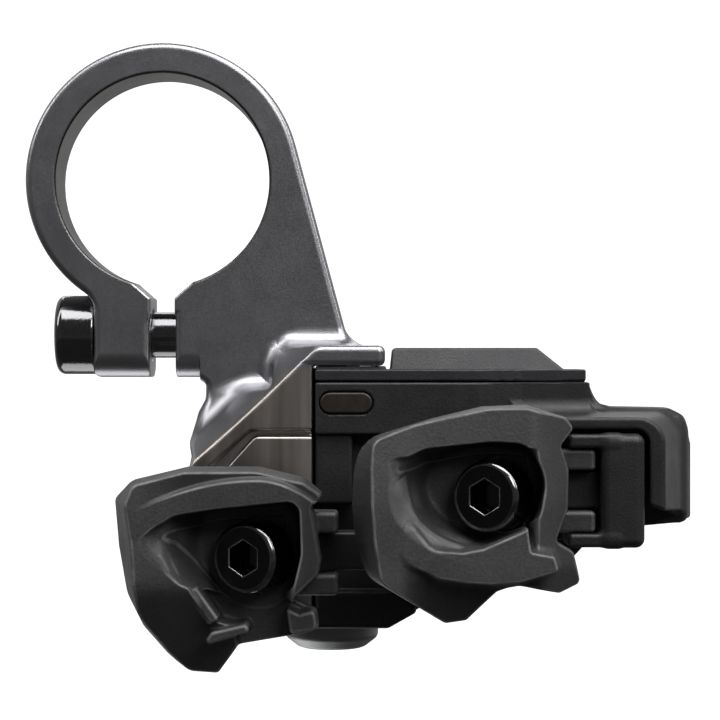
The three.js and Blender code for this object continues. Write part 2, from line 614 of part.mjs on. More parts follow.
const LOWER_POCKET = [[-9, 3.3], [-5.3, 4], [-1.3, 4.5], [5, 4.8], [5.6, 0], [3.4, -2.8],
  [1.4, -5.2], [-3, -5.6], [-6.6, -3.6], [-8.8, -0.2]];
const RIM_SCALE = 0.89; // the front rim is drawn in from the widest outline by this much

// Room behind the upper paddle for the guard's rim, which the paddle swings towards when pressed.
const GUARD_ROOM = box([35.8, 45], [HOOK_FRONT_Y - 1.1, PADDLE_BACK_Y + 1], [-26.2, -20]);

function place(outline, lever, scale = 1) {
  return outline.map(([x, z]) => [lever.headX + x * scale, lever.z + z * scale]);
}

function paddle(outline, pocket, lever) {
  const { headX, z } = lever;
  const shell = loft(place(outline, lever, RIM_SCALE), PADDLE_FRONT_Y, place(outline, lever),
    PADDLE_WIDEST_Y);
  const back = plate(place(outline, lever), PADDLE_WIDEST_Y - 0.01, PADDLE_BACK_Y);
  const prongs = [-1, 1].map((side) => {
    const edges = [z + side * 2, z + side * 4.1].sort((a, b) => a - b);
    const reach = headX + (lever === UPPER ? 11.5 : 9.1);
    const root = box([headX + 4.6, reach], [PADDLE_BACK_Y - 0.01, -13.6], edges);
    const step = box([headX + 4.6, Math.min(reach, headX + 8)],
      [PADDLE_BACK_Y - 1.2, PADDLE_BACK_Y], edges);
    return join(root, step);
  });
  const recess = loft(place(pocket, lever, 1.04), PADDLE_FRONT_Y - 0.1,
    place(pocket, lever, 0.9), -21.6);
  const counterbore = tilted(rod('y', [0, 0], 3.9, -8, 4.05, 28), lever);
  const boltHole = tilted(rod('y', [0, 0], 2.15, 3, 14, 20), lever);
  const bossRoom = tilted(rod('y', [0, 0], BOSS_RADIUS + 0.3, 6, 14, 28), lever);
  const fork = cut(join(...prongs), bossRoom);
  const body = cut(join(shell, back, fork), recess, counterbore, boltHole);
  return lever === UPPER ? cut(body, GUARD_ROOM) : body;
}

function paddleBolt(lever) {
  const body = turned([[0, 0], [3, 0], [3.4, 0.4], [3.4, 4], [2, 4], [2, 10.3], [0, 10.3]],
    0, 0, 28);
  return tilted(cut(body, hexSocket('y', [0, 0], 3, -1, 2)), lever);
}

// ---------- assembly ----------

addPart('clamp_bracket', clampBracket(), 'anodised');
addPart('clamp_bolt', clampBolt(), 'blackSteel');
addPart('mounting_bolt', mountingBolt(), 'satinSteel');
addPart('front_housing', frontHousing(), 'housing');
addPart('rear_cover', rearCover(), 'housing');
addPart('cover_gasket', coverGasket(), 'rubber');
COVER_SCREWS.forEach((at, i) => addPart(`cover_screw_${i + 1}`, coverScrew(at), 'blackSteel'));

addPart('battery_door', batteryDoor(), 'housing');
addPart('door_seal', turned([[10.45, 2.96], [11.05, 2.96], [11.05, 3.28], [10.45, 3.28],
  [10.45, 2.96]], BATTERY.x, BATTERY.z), 'rubber');
addPart('coin_cell', turned([[0, CELL_Y[0]], [8.8, CELL_Y[0]], [BATTERY.cell, 0.2],
  [BATTERY.cell, CELL_Y[1]], [0, CELL_Y[1]]], BATTERY.x, BATTERY.z), 'shield');
addPart('negative_contact', negativeContact(), 'contact');
addPart('positive_contact', positiveContact(), 'contact');
addPart('main_board', mainBoard(), 'board');
addPart('radio_module', radioModule(), 'shield');
addPart('antenna', antenna(), 'board');
addPart('function_board', functionBoard(), 'board');
addPart('function_switch', functionSwitch(), 'shield');
addPart('status_led', statusLed(), 'led');
addPart('function_button', functionButton(), 'tinted');

for (const [side, lever] of [['upper', UPPER], ['lower', LOWER]]) {
  addPart(`${side}_switch`, pressSwitch(lever), 'shield');
  addPart(`${side}_switch_cap`, pressSwitchCap(lever), 'rubber');
  addPart(`${side}_plunger`, plunger(lever), 'satinSteel');
  addPart(`${side}_plunger_seal`, plungerSeal(lever), 'rubber');
  addPart(`${side}_hinge_pin`, hingePin(lever), 'satinSteel');
  addPart(`${side}_hinge_bush`, hingeBush(lever), 'bronze');
  addPart(`${side}_return_spring`, returnSpring(lever), 'satinSteel');
  addPart(`${side}_paddle_bolt`, paddleBolt(lever), 'blackSteel');
}
addPart('upper_lever', upperLever(), 'lever');
addPart('lower_lever', lowerLever(), 'lever');
addPart('upper_paddle', paddle(UPPER_PADDLE, UPPER_POCKET, UPPER), 'paddle');
addPart('lower_paddle', paddle(LOWER_PADDLE, LOWER_POCKET, LOWER), 'paddle');

const controller = new THREE.Group();
controller.add(assembly);
assembly.position.set(0, -BAND_HALF, -(BAR_RADIUS + BAND_RADIUS) / 2);

export default controller;
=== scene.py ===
"""Handlebar shift controller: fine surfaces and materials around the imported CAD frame.

Visible shells are written as distance fields in millimetres, measured from the centre of the
handlebar bore, meshed on a fine grid and moved into the shared frame. A field takes x, y and z
arrays and is negative inside the piece. Everything else keeps its CAD mesh and gets a node
material.
"""
import math
from concurrent.futures import ThreadPoolExecutor
import bpy
import numpy as np
import openvdb
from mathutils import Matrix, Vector


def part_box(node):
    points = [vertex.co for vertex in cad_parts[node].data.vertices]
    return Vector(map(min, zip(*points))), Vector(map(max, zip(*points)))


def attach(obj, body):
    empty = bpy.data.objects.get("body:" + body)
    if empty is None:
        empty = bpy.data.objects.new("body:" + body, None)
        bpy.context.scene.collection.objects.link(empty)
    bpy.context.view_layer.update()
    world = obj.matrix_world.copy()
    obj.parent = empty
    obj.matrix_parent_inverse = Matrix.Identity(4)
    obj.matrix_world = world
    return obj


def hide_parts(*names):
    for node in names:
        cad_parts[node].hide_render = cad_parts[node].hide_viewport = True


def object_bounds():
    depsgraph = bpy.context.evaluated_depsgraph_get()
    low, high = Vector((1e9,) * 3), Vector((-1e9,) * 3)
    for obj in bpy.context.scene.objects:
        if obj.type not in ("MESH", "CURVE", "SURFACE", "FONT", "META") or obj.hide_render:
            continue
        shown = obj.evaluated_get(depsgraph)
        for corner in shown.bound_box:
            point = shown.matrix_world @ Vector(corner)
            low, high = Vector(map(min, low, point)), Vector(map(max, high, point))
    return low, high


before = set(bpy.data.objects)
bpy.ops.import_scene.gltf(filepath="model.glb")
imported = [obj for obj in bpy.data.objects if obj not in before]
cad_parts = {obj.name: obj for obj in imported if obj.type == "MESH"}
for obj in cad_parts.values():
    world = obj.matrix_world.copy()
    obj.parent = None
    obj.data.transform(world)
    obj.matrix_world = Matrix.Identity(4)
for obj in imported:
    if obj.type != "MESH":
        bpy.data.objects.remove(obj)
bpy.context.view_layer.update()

MM = 0.001

# ---------- sizes shared with the CAD frame ----------

BAR_RADIUS = 11.1
BAND_RADIUS = 14.3
BAND_HALF = 4.5
BRACKET_LOW, BRACKET_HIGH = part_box("clamp_bracket")
BAR_CENTRE = Vector((
    BRACKET_LOW.x + BAND_RADIUS * MM,
    BRACKET_HIGH.y - BAND_HALF * MM,
    BRACKET_HIGH.z - BAND_RADIUS * MM,
))
CLAMP_BOLT_Z = -16.1
EAR_LEFT = -7.2
EAR_BOTTOM = -20.55
GAP_HALF = 1.25
FRONT_Y = -11.0
CHANNEL_Y = -8.3
SPLIT_Y = -2.4
PADDLE_FRONT = -27.6
PADDLE_WIDEST = -21.0
PADDLE_BACK = -18.0
POCKET_FLOOR = -20.2
CREASE_Y = -26.8
BOLT_HEAD_Y = -24.0
BOLT_TILT = math.radians(28)
MOUNTING_BOLT = (17.6, -2.5)  # x and y of its axis; the centres below are x and z
FUNCTION_KEY = (19.15, -23.1)
BATTERY = (34.5, -30.5)
SCREWS = ((23.6, -43.2), (23.5, -23.1), (49.6, -26.6), (49.6, -33.0))


class Lever:
    """Where a lever's hinge pin, neck, paddle and paddle bolt are."""

    def __init__(self, pin_x, z, head_x, bolt_z):
        self.pin_x = pin_x
        self.z = z
        self.head_x = head_x
        self.bolt_z = bolt_z


UPPER = Lever(46.2, -31.6, 32.5, -31.9)
LOWER = Lever(28.0, -37.8, 9.3, -37.8)
HINGE_Y = -12.8

# ---------- distance fields ----------


def round_max(a, b, r=0.0):
    """The greater of two distances, with the edge where they meet rounded to radius r."""
    if r <= 0:
        return np.maximum(a, b)
    return np.minimum(np.maximum(a, b), -r) + np.hypot(np.maximum(a + r, 0), np.maximum(b + r, 0))


def meet(r, *fields):
    """What all the fields share, with the edges between them rounded to radius r."""
    def field(x, y, z):
        d = fields[0](x, y, z)
        for other in fields[1:]:
            d = round_max(d, other(x, y, z), r)
        return d
    return field


def join(r, *fields):
    """The fields together, with fillets of radius r where they meet."""
    def field(x, y, z):
        d = -fields[0](x, y, z)
        for other in fields[1:]:
            d = round_max(d, -other(x, y, z), r)
        return -d
    return field


def cut(r, base, *tools):
    """A field with others taken out of it, and the new edges rounded to radius r."""
    def field(x, y, z):
        d = base(x, y, z)
        for tool in tools:
            d = round_max(d, -tool(x, y, z), r)
        return d
    return field


def half(point, normal):
    """Everything behind a plane; the normal points out of the piece."""
    n = np.array(normal, float)
    n /= np.linalg.norm(n)
    offset = float(np.dot(n, point))
    return lambda x, y, z: n[0] * x + n[1] * y + n[2] * z - offset


def box(xs, ys, zs, r=0.0):
    """Block between pairs of limits, with all its edges rounded to radius r."""
    lows = [s[0] for s in (xs, ys, zs)]
    highs = [s[1] for s in (xs, ys, zs)]

    def field(x, y, z):
        q = [np.abs(p - (lo + hi) / 2) - (hi - lo) / 2 + r
             for p, lo, hi in zip((x, y, z), lows, highs)]
        outside = np.sqrt(sum(np.maximum(part, 0) ** 2 for part in q))
        return outside + np.minimum(np.maximum(np.maximum(q[0], q[1]), q[2]), 0) - r
    return field


def rod(axis, centre, radius, low, high, r=0.0, r_low=None):
    """Round rod along an axis letter; its rims are rounded to r, or the low one to r_low."""
    def field(x, y, z):
        along, a, b = {"x": (x, y, z), "y": (y, x, z), "z": (z, x, y)}[axis]
        side = np.hypot(a - centre[0], b - centre[1]) - radius
        d = round_max(side, along - high, r)
        return round_max(d, low - along, r if r_low is None else r_low)
    return field


def arced(corners, steps=5):
    """Outline from (a, b) or (a, b, radius) corners; a radius turns its corner into an arc."""
    out = []
    count = len(corners)
    for i, corner in enumerate(corners):
        p = np.array(corner[:2], float)
        if len(corner) < 3:
            out.append(p)
            continue
        before = np.array(corners[i - 1][:2], float) - p
        after = np.array(corners[(i + 1) % count][:2], float) - p
        to_before = before / np.linalg.norm(before)
        to_after = after / np.linalg.norm(after)
        half_angle = math.acos(np.clip(to_before @ to_after, -1, 1)) / 2
        reach = corner[2] / math.tan(half_angle)
        middle = to_before + to_after
        centre = p + middle / np.linalg.norm(middle) * corner[2] / math.sin(half_angle)
        start, end = p + to_before * reach - centre, p + to_after * reach - centre
        for step in range(steps + 1):
            blend = start + (end - start) * step / steps
            out.append(centre + blend / np.linalg.norm(blend) * corner[2])
    return np.array(out)


def flat_distance(outline, u, v):
    """Signed distance in the plane to a closed outline."""
    nearest = np.full(np.shape(u), 1e9)
    inside = np.zeros(np.shape(u), bool)
    for (ax, ay), (bx, by) in zip(outline, np.roll(outline, -1, axis=0)):
        ex, ey = bx - ax, by - ay
        wx, wy = u - ax, v - ay
        t = np.clip((wx * ex + wy * ey) / (ex * ex + ey * ey), 0, 1)
        nearest = np.minimum(nearest, (wx - ex * t) ** 2 + (wy - ey * t) ** 2)
        if ay != by:
            inside ^= ((ay > v) != (by > v)) & (u < ex * (v - ay) / ey + ax)
    return np.where(inside, -1, 1) * np.sqrt(nearest)


def prism(corners, low, high, r=0.0, axis="y"):
    """Outline extruded along an axis, with its two rims rounded to radius r."""
    outline = arced(corners)

    def field(x, y, z):
        along, u, v = {"x": (x, y, z), "y": (y, x, z), "z": (z, x, y)}[axis]
        side = flat_distance(outline, u, v)
        return round_max(round_max(side, along - high, r), low - along, r)
    return field


def hexagon(centre, across_flats, turn=0.0):
    radius = across_flats / math.sqrt(3)
    return [(centre[0] + radius * math.cos(turn + i * math.pi / 3),
             centre[1] + radius * math.sin(turn + i * math.pi / 3)) for i in range(6)]


def tilted(field, lever):
    """A field made along +Y from the origin, turned onto a lever's paddle bolt axis."""
    c, s = math.cos(BOLT_TILT), math.sin(BOLT_TILT)

    def moved(x, y, z):
        dx, dy = x - lever.head_x, y - BOLT_HEAD_Y
        return field(c * dx - s * dy, s * dx + c * dy, z - lever.bolt_z)
    return moved


# ---------- meshing ----------

BLOCK = 16
SLACK = 1.25  # room for fields that grow a little faster than distance
SHARPEST = 4


def cells_near_surface(field, low, high, cell):
    """Level set grid of a field, filled in blocks and only close to its surface."""
    band = 3 * cell
    grid = openvdb.FloatGrid(band)
    counts = [int(math.ceil((b - a) / cell / BLOCK)) for a, b in zip(low, high)]
    starts = np.stack(np.meshgrid(*[np.arange(n) * BLOCK for n in counts], indexing="ij"), -1)
    starts = starts.reshape(-1, 3)
    middles = np.array(low) + (starts + BLOCK / 2) * cell
    coarse = field(*middles.T)
    reach = BLOCK * cell * math.sqrt(3) / 2 * SLACK + band
    for start in starts[coarse < -reach]:
        corner = tuple(int(i) for i in start)
        grid.fill(corner, tuple(i + BLOCK - 1 for i in corner), -band, False)
    near = starts[np.abs(coarse) <= reach]
    steps = np.stack(np.meshgrid(*[np.arange(BLOCK)] * 3, indexing="ij"), -1).reshape(-1, 3)

    def sample(group):
        points = np.array(low) + (group[:, None, :] + steps[None]) * cell
        values = field(*points.reshape(-1, 3).T).clip(-band, band)
        return values.reshape(len(group), BLOCK, BLOCK, BLOCK).astype(np.float32)

    groups = np.array_split(near, max(1, len(near) // 12))
    with ThreadPoolExecutor() as pool:
        for group, values in zip(groups, pool.map(sample, groups)):
            for start, block in zip(group, values):
                grid.copyFromArray(np.ascontiguousarray(block), ijk=tuple(int(i) for i in start))
    return grid


def slopes(field, points, step=0.01):
    """Which way and how fast the field grows at each point."""
    g = np.empty_like(points)
    for axis in range(3):
        ahead, behind = points.copy(), points.copy()
        ahead[:, axis] += step
        behind[:, axis] -= step
        g[:, axis] = (field(*ahead.T) - field(*behind.T)) / (2 * step)
    return g


def curvature(field, points, step=0.12):
    """How sharply the surface bends outwards at each point, from 0 for flat to 1 for an edge."""
    total = -6 * field(*points.T)
    for axis in range(3):
        for way in (-step, step):
            moved = points.copy()
            moved[:, axis] += way
            total = total + field(*moved.T)
    return np.clip(total / step ** 2, 0, SHARPEST).astype(np.float32) / SHARPEST


def face_corners(mesh, points):
    """Each face's corners, moved a little inwards so that a flat beside an edge stays flat."""
    corners = np.empty(len(mesh.loops), np.int32)
    mesh.loops.foreach_get("vertex_index", corners)
    sizes = np.empty(len(mesh.polygons), np.int32)
    mesh.polygons.foreach_get("loop_total", sizes)
    starts = np.concatenate(([0], np.cumsum(sizes)[:-1]))
    middles = np.add.reduceat(points[corners], starts, axis=0) / sizes[:, None]
    inward = np.repeat(middles, sizes, axis=0) - points[corners]
    reach = np.linalg.norm(inward, axis=1, keepdims=True)
    share = np.minimum(0.3, 0.25 / np.maximum(reach, 1e-9))
    return points[corners] + inward * share


def settle(field, points, rounds, limit):
    """Moves points onto the field's zero surface."""
    for _ in range(rounds):
        g = slopes(field, points)
        shift = g * (field(*points.T) / np.maximum((g * g).sum(1), 0.25))[:, None]
        length = np.linalg.norm(shift, axis=1, keepdims=True)
        points = points - shift * np.minimum(1, limit / np.maximum(length, 1e-9))
    return points


def surface(name, field, low, high, cell, faces, body, nodes, finish, slot):
    """Meshes a field, thins it to about the given face count and stands it in for CAD nodes."""
    margin = 3 * cell
    low = [v - margin for v in low]
    high = [v + margin for v in high]
    grid = cells_near_surface(field, low, high, cell)
    points, quads = grid.convertToQuads(0.0)[:2]
    points = settle(field, points.astype(float) * cell + np.array(low), 2, cell)
    mesh = bpy.data.meshes.new(name)
    mesh.from_pydata(points, [], quads.tolist())
    piece = bpy.data.objects.new(name, mesh)
    bpy.context.collection.objects.link(piece)
    if 2 * len(quads) > faces:
        thin = piece.modifiers.new("thin", "DECIMATE")
        thin.ratio = faces / (2 * len(quads))
        thinned = bpy.data.meshes.new_from_object(
            piece.evaluated_get(bpy.context.evaluated_depsgraph_get()))
        piece.modifiers.clear()
        piece.data = thinned
        bpy.data.meshes.remove(mesh)
        mesh = thinned
    mesh.name = name
    points = np.empty(len(mesh.vertices) * 3)
    mesh.vertices.foreach_get("co", points)
    points = settle(field, points.reshape(-1, 3), 2, cell)
    corners = face_corners(mesh, points)
    normals = slopes(field, corners, 0.02)
    normals /= np.maximum(np.linalg.norm(normals, axis=1, keepdims=True), 1e-9)
    placed = points * MM + np.array(BAR_CENTRE)
    mesh.vertices.foreach_set("co", placed.astype(np.float32).ravel())
    mesh.polygons.foreach_set("use_smooth", np.ones(len(mesh.polygons), bool))
    mesh.normals_split_custom_set(normals.tolist())
    edge = mesh.attributes.new("edge", "FLOAT", "CORNER")
    edge.data.foreach_set("value", curvature(field, corners))
    mesh.update()
    mesh.materials.append(finish)
    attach(piece, body)
    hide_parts(*nodes)
    return piece


# ---------- clamp bracket ----------

CHAMFER_RIDGE = ((16.1, FRONT_Y, -17.6), (-0.634, -0.40, 0.66))


def flat(corners):
    """Outline in x and z without ends."""
    outline = arced(corners)
    return lambda x, y, z: flat_distance(outline, x, z)


def disc(radius):
    return lambda x, y, z: np.hypot(x, z) - radius


def across(half_width):
    """Slab along the bar, the same each side of the clamp band's middle."""
    return lambda x, y, z: np.abs(y) - half_width


def bracket():
    web = flat([(GAP_HALF, -9), (GAP_HALF, EAR_BOTTOM), (3.4, EAR_BOTTOM, 0.6),
                (4.5, -21.2, 0.5), (4.5, -22.9, 0.5), (2.4, -27.2, 0.4), (2.4, -27.7, 0.4),
                (2.7, -28.7, 0.4), (2.3, -30.2, 1), (3, -38, 4), (7, -45, 1.5),
                (15.7, -45), (15.7, -18.6), (19.35, -18.6), (19.35, -16.9), (13.81, 3.70),
                (0, 0)])
    left_ear = flat([(EAR_LEFT, EAR_BOTTOM, 0.7), (-GAP_HALF, EAR_BOTTOM), (-GAP_HALF, -9),
                     (EAR_LEFT, -9)])
    outline = join(0.9, join(0, disc(BAND_RADIUS), web), left_ear)
    rounded_below = meet(2.6, across(BAND_HALF), half((0, 0, EAR_BOTTOM), (0, 0, -1)))
    ears = meet(0.75, outline, across(BAND_HALF))

    def below_ears(x, y, z):
        return np.maximum(np.maximum(-rounded_below(x, y, z), x - 3.9), z + 18.0)
    ears = cut(0, ears, below_ears)

    foot_outline = [(15.9, -17.9), (11.9, -17.9), (11.4, -21.6, 0.6), (5.3, -22.1, 0.6),
                    (3.2, -27.2, 0.4), (3.2, -27.7, 0.4), (3.5, -28.7, 0.4), (3, -30.2, 1),
                    (3.4, -38, 4), (7.2, -44.8, 1.5), (15.9, -44.8)]
    crowned_front = rod("z", (12, 29), 40, -60, 0)
    foot = meet(0.3, prism(foot_outline, FRONT_Y - 2, -4.2, 0.3), crowned_front)
    flange = box((12.5, 23.1), (FRONT_Y, 3.0), (-19.4, -17.25), 0.7)
    block = meet(0.35, join(0, foot, flange), half(*CHAMFER_RIDGE))
    body = join(2.0, ears, block)

    groove = prism([(17, -25.9), (9.4, -25.9, 1.2), (5.0, -29.9, 0.5), (5.9, -30.9, 0.5),
                    (9.9, -26.5, 1.0), (17, -26.5)], FRONT_Y - 3, FRONT_Y + 1.3, 0.2)
    pod_room = box((15.7, 60), (-14, 6), (-60, -19.4))
    gap = box((-GAP_HALF, GAP_HALF), (-6, 6), (-30, -9))
    lead_in = prism([(-3.1, -10.7), (3.1, -10.7), (GAP_HALF, -12.3), (-GAP_HALF, -12.3)],
                    -6, 6)
    bore = rod("y", (0, 0), BAR_RADIUS, -6, 6)
    body = cut(0.28, body, join(0.0, bore, gap, lead_in), groove)
    body = cut(0.15, body, pod_room)
    scallop = rod("z", MOUNTING_BOLT, 3.9, -50, -19.3)
    ear_hole = rod("x", (0, CLAMP_BOLT_Z), 2.75, -8, 0)
    ear_thread = rod("x", (0, CLAMP_BOLT_Z), 2.5, 0, 10.5)
    spot_face = rod("x", (0, CLAMP_BOLT_Z), 4.4, -13, EAR_LEFT)
    back_pocket = box((6.2, 11.6), (-5.5, 6), (-42.5, -25.5), 1.0)
    thread = rod("z", MOUNTING_BOLT, 1.58, -20.3, -16.95)
    return cut(0.2, body, scallop, ear_hole, ear_thread, spot_face, back_pocket, thread)


# ---------- bolts ----------

def clamp_bolt():
    head = rod("x", (0, CLAMP_BOLT_Z), 4.15, -11.4, EAR_LEFT - 0.03, 0.25, 0.95)
    shank = rod("x", (0, CLAMP_BOLT_Z), 2.42, -8, 9.5, 0.5)
    socket = prism(hexagon((0, CLAMP_BOLT_Z), 4), -13, -9.2, 0, "x")
    recess = rod("x", (0, CLAMP_BOLT_Z), 2.9, -13, -11.2, 0.2)
    return cut(0.12, join(0.2, head, shank), recess, socket)


def mounting_bolt():
    def cone(x, y, z):
        away = np.hypot(x - MOUNTING_BOLT[0], y - MOUNTING_BOLT[1])
        return (away - 3.3 - (z + 48.8) * 1.29) / 1.63
    head = meet(0.3, rod("z", MOUNTING_BOLT, 4.85, -48.8, -46.05, 0.15, 0.2), cone)
    shank = rod("z", MOUNTING_BOLT, 1.5, -46.5, -17.1, 0.3)
    socket = prism(hexagon(MOUNTING_BOLT, 3), -50, -47.2, 0, "z")
    return cut(0.12, join(0.15, head, shank), socket)


def paddle_bolt(lever):
    head = rod("y", (0, 0), 3.45, 0, 4, 0.15, 0.5)
    socket = prism(hexagon((0, 0), 3, math.radians(30)), -1, 2)
    shank = rod("y", (0, 0), 2.0, 3.9, 10.3, 0.3)
    return tilted(cut(0.1, join(0.1, head, shank), socket), lever)


# ---------- pod ----------

POD = [(16, -21, 0.3), (43.9, -21, 0.3), (44.4, -22.2), (45, -23.3), (46.1, -23.8),
       (52.1, -24), (53.7, -24.7), (54.6, -25.9), (55.2, -27.5), (55.2, -35.2, 0.3),
       (43.5, -36.3), (39.7, -37.6), (34.5, -41), (26.6, -44.2), (23.4, -46, 0.8), (16, -46, 0.3)]
POD_CAVITY = [(20.8, -22.3), (42.8, -22.3), (44.3, -25.2), (53, -25.6), (53.4, -33.7),
              (43, -34.9), (38.8, -36.4), (33.8, -39.7), (26, -42.8), (24.5, -44.4),
              (20.8, -44.4)]
GUARD_SIDE = half((50.6, -18, 0), (0.956, -0.293, 0))


def faceted(r, field):
    """The front of the pod steps back a little, over one slanted flat, towards its right end."""
    slanted = half((33.3, FRONT_Y, 0), (0.14, -0.99, 0))
    right_end = half((37.0, -10.48, 0), (0.02, -1, 0))
    return meet(r, field, join(0, slanted, right_end))


def guard():
    """Hood round the upper lever; its outer side leans out towards the back."""
    top = half((0, -18, -24.4), (0, -0.03, 1))
    wall = 1.5
    lid = 1.2

    def field(x, y, z):
        side, above = GUARD_SIDE(x, y, z), top(x, y, z)
        outer = round_max(side, above, 2.6)
        inner = round_max(side + wall, above + lid, 1.4)
        return round_max(outer, -inner, 0.2)
    ends = meet(0.35, field, half((0, -18, 0), (0, -1, 0)),
                half((55, -18, -35.3), (-0.35, 0.05, -0.935)))
    return meet(0, ends, half((37, 0, 0), (-1, 0, 0)), half((0, -7.9, 0), (0, 1, 0)))


def pill(centre_x, centre_z, length, width, low, high, r):
    """Round ended key shape that lies along x, with its low rim rounded to radius r."""
    reach = (length - width) / 2

    def field(x, y, z):
        side = np.hypot(np.maximum(np.abs(x - centre_x) - reach, 0), z - centre_z) - width / 2
        return round_max(round_max(side, y - high, 0.05), low - y, r)
    return field


def front_housing():
    body = meet(0.4, prism(POD, CHANNEL_Y, SPLIT_Y, 0.25), GUARD_SIDE)
    upper = prism([(16, -21, 0.2), (43.9, -21, 0.2), (43.9, -25.4), (37, -25.4, 0.5),
                   (36, -26.3, 0.5), (16, -26.3, 0.3)], FRONT_Y, -8.0, 0.25)
    cheek = box((16, 19.8), (-10.4, -8), (-33.4, -26.2), 0.35)
    shelf = prism([(16, -42.2, 0.3), (24.6, -42.2, 0.8), (26.6, -44.2, 0.5), (23.4, -46, 0.8),
                   (16, -46, 0.3)], FRONT_Y, -8.0, 0.5)
    tube = rod("z", MOUNTING_BOLT, 3.6, -46, -19.6, 0.3)
    shell = join(1.6, join(0, body, faceted(0.1, upper), cheek, shelf), guard())
    cavity = prism(POD_CAVITY, -7.1, -1)
    upper_cavity = box((17.2, 42.8), (-9.7, -7.0), (-25.1, -22.3))
    shell = cut(0.15, shell, join(0, cavity, upper_cavity))
    lugs = []
    holes = [rod("z", MOUNTING_BOLT, 1.7, -60, 0)]
    for lever in (UPPER, LOWER):
        post = rod("z", (lever.pin_x, HINGE_Y), 1.9, lever.z - 1.7, lever.z + 1.7, 0.2)
        root = box((lever.pin_x - 1.9, lever.pin_x + 1.9), (HINGE_Y, -8.1),
                   (lever.z - 1.7, lever.z + 1.7), 0.2)
        lugs.append(join(0, post, root))
        holes.append(rod("z", (lever.pin_x, HINGE_Y), 1.33, lever.z - 3, lever.z + 3))
        holes.append(rod("y", (lever.pin_x - 5.5, lever.z), 2.3, -9.3, -6.1))
    holes.append(pill(*FUNCTION_KEY, 5.5, 2.3, -12, -9, 0))
    return cut(0.12, join(0.25, shell, tube, *lugs), *holes)


def rear_cover():
    x, z = BATTERY
    middle = (34, -31)
    inset = []
    for corner in POD:
        reach = math.dist(corner[:2], middle)
        keep = (reach - 0.3) / reach
        inset.append((middle[0] + (corner[0] - middle[0]) * keep,
                      middle[1] + (corner[1] - middle[1]) * keep) + corner[2:])
    plate = prism(inset, -2.15, -1.0, 0.3)
    ring = rod("y", BATTERY, 12.3, -2.1, 4.7, 0.5)
    band = faceted(0.1, box((16, 43.5), (FRONT_Y, -1.0), (-20.88, -19.7), 0.18))
    rise = prism([(23.6, -20.3), (23.9, -17.5, 0.4), (38.6, -17.5, 0.5), (41.4, -19.8),
                  (41.4, -20.3)], FRONT_Y + 0.1, -1.2, 0.3)
    body = join(0.9, plate, ring)
    seat = box((16, 23.2), (-10.6, -1.2), (-20.5, -19.38), 0.1)
    tongue = box((16.5, 43.4), (-10.2, -9.72), (-20.99, -20.4))
    sloping_front = half((34, -10.35, -19.7), (0, -0.9, 0.436))
    body = join(0.0, body, band, seat, tongue, faceted(0.1, meet(0.2, rise, sloping_front)))
    hollow = box((24.8, 38.2), (-9.7, -2.35), (-22, -18.9), 0.3)
    tools = [hollow, rod("z", MOUNTING_BOLT, 3.9, -60, 0), box((10, 17.6), (-6.8, 3), (-60, -21.3)),
             rod("y", BATTERY, 10.3, -1.0, 10), rod("y", BATTERY, 11.2, 2.9, 10)]
    for sx, sz in SCREWS:
        tools.append(rod("y", (sx, sz), 0.9, -4, 2))
        tools.append(rod("y", (sx, sz), 1.6, -1.5, 6))
    tools.append(rod("y", BATTERY, 11.7, 3.45, 4.15))
    for i in range(3):
        tools.append(lug_shape(0.25, 3.45, 6, math.radians(45 + 120 * i)))
    tools.append(box((x - 1.5, x + 1.5), (-1.01, 2.9), (z + 9, z + 11.2)))
    return cut(0.15, body, *tools)


def lug_shape(clearance, low, high, turn):
    """One bayonet lug of the battery door, or the notch that lets it in."""
    c, s = math.cos(turn), math.sin(turn)
    block = box((-1 - clearance, 1 + clearance), (low, high),
                (9.15 - clearance, 11.35 + clearance), 0.05)

    def field(x, y, z):
        dx, dz = x - BATTERY[0], z - BATTERY[1]
        return block(c * dx - s * dz, y, s * dx + c * dz)
    return field


def battery_door():
    x, z = BATTERY
    lid = rod("y", BATTERY, 11, 3.35, 5.0, 0.35, 0.1)
    plug = rod("y", BATTERY, 9.4, 2.75, 4.5, 0, 0.1)
    body = join(0, lid, plug, *[lug_shape(0, 3.5, 4.1, math.radians(120 * i)) for i in range(3)])
    recess = cut(0.1, rod("y", BATTERY, 9.6, 4.72, 6), rod("y", BATTERY, 8.0, 4, 7, 0))
    slot = pill(x, z, 13, 1.9, 4.1, 8, 0.1)
    key = [pill(x + 10.2 * math.sin(a), z + 10.2 * math.cos(a), 0.9, 0.5, 4.8, 8, 0.05)
           for a in np.linspace(0, 2 * math.pi, 24, endpoint=False)]
    return cut(0.15, body, recess, slot, *key)


def function_button():
    x, z = FUNCTION_KEY
    cap = pill(x, z, 5.3, 2.1, FRONT_Y - 0.15, FRONT_Y + 1.5, 0.2)
    flange = box((x - 1.9, x + 3.2), (FRONT_Y + 1.35, FRONT_Y + 1.75), (z - 1.4, z + 0.75), 0.08)
    return join(0.05, cap, flange, rod("y", (x, z), 0.5, FRONT_Y + 1.6, -8.6, 0.1))


# ---------- levers ----------

def finish_lever(body, lever):
    """Adds the boss for the paddle bolt and cuts the holes that both levers have."""
    boss = tilted(rod("y", (0, 0), 3.1, 5.5, 10.5, 0.3), lever)
    boss = meet(0.2, boss, half((0, -17.7, 0), (0, -1, 0)))
    slot = box((lever.pin_x - 2.15, lever.pin_x + 5), (-15, 0), (lever.z - 2.1, lever.z + 3.9))
    pin_hole = rod("z", (lever.pin_x, HINGE_Y), 0.83, lever.z - 9, lever.z + 9)
    thread = tilted(rod("y", (0, 0), 2.1, 4, 12), lever)
    return cut(0.15, join(0.4, body, boss), slot, pin_hole, thread)


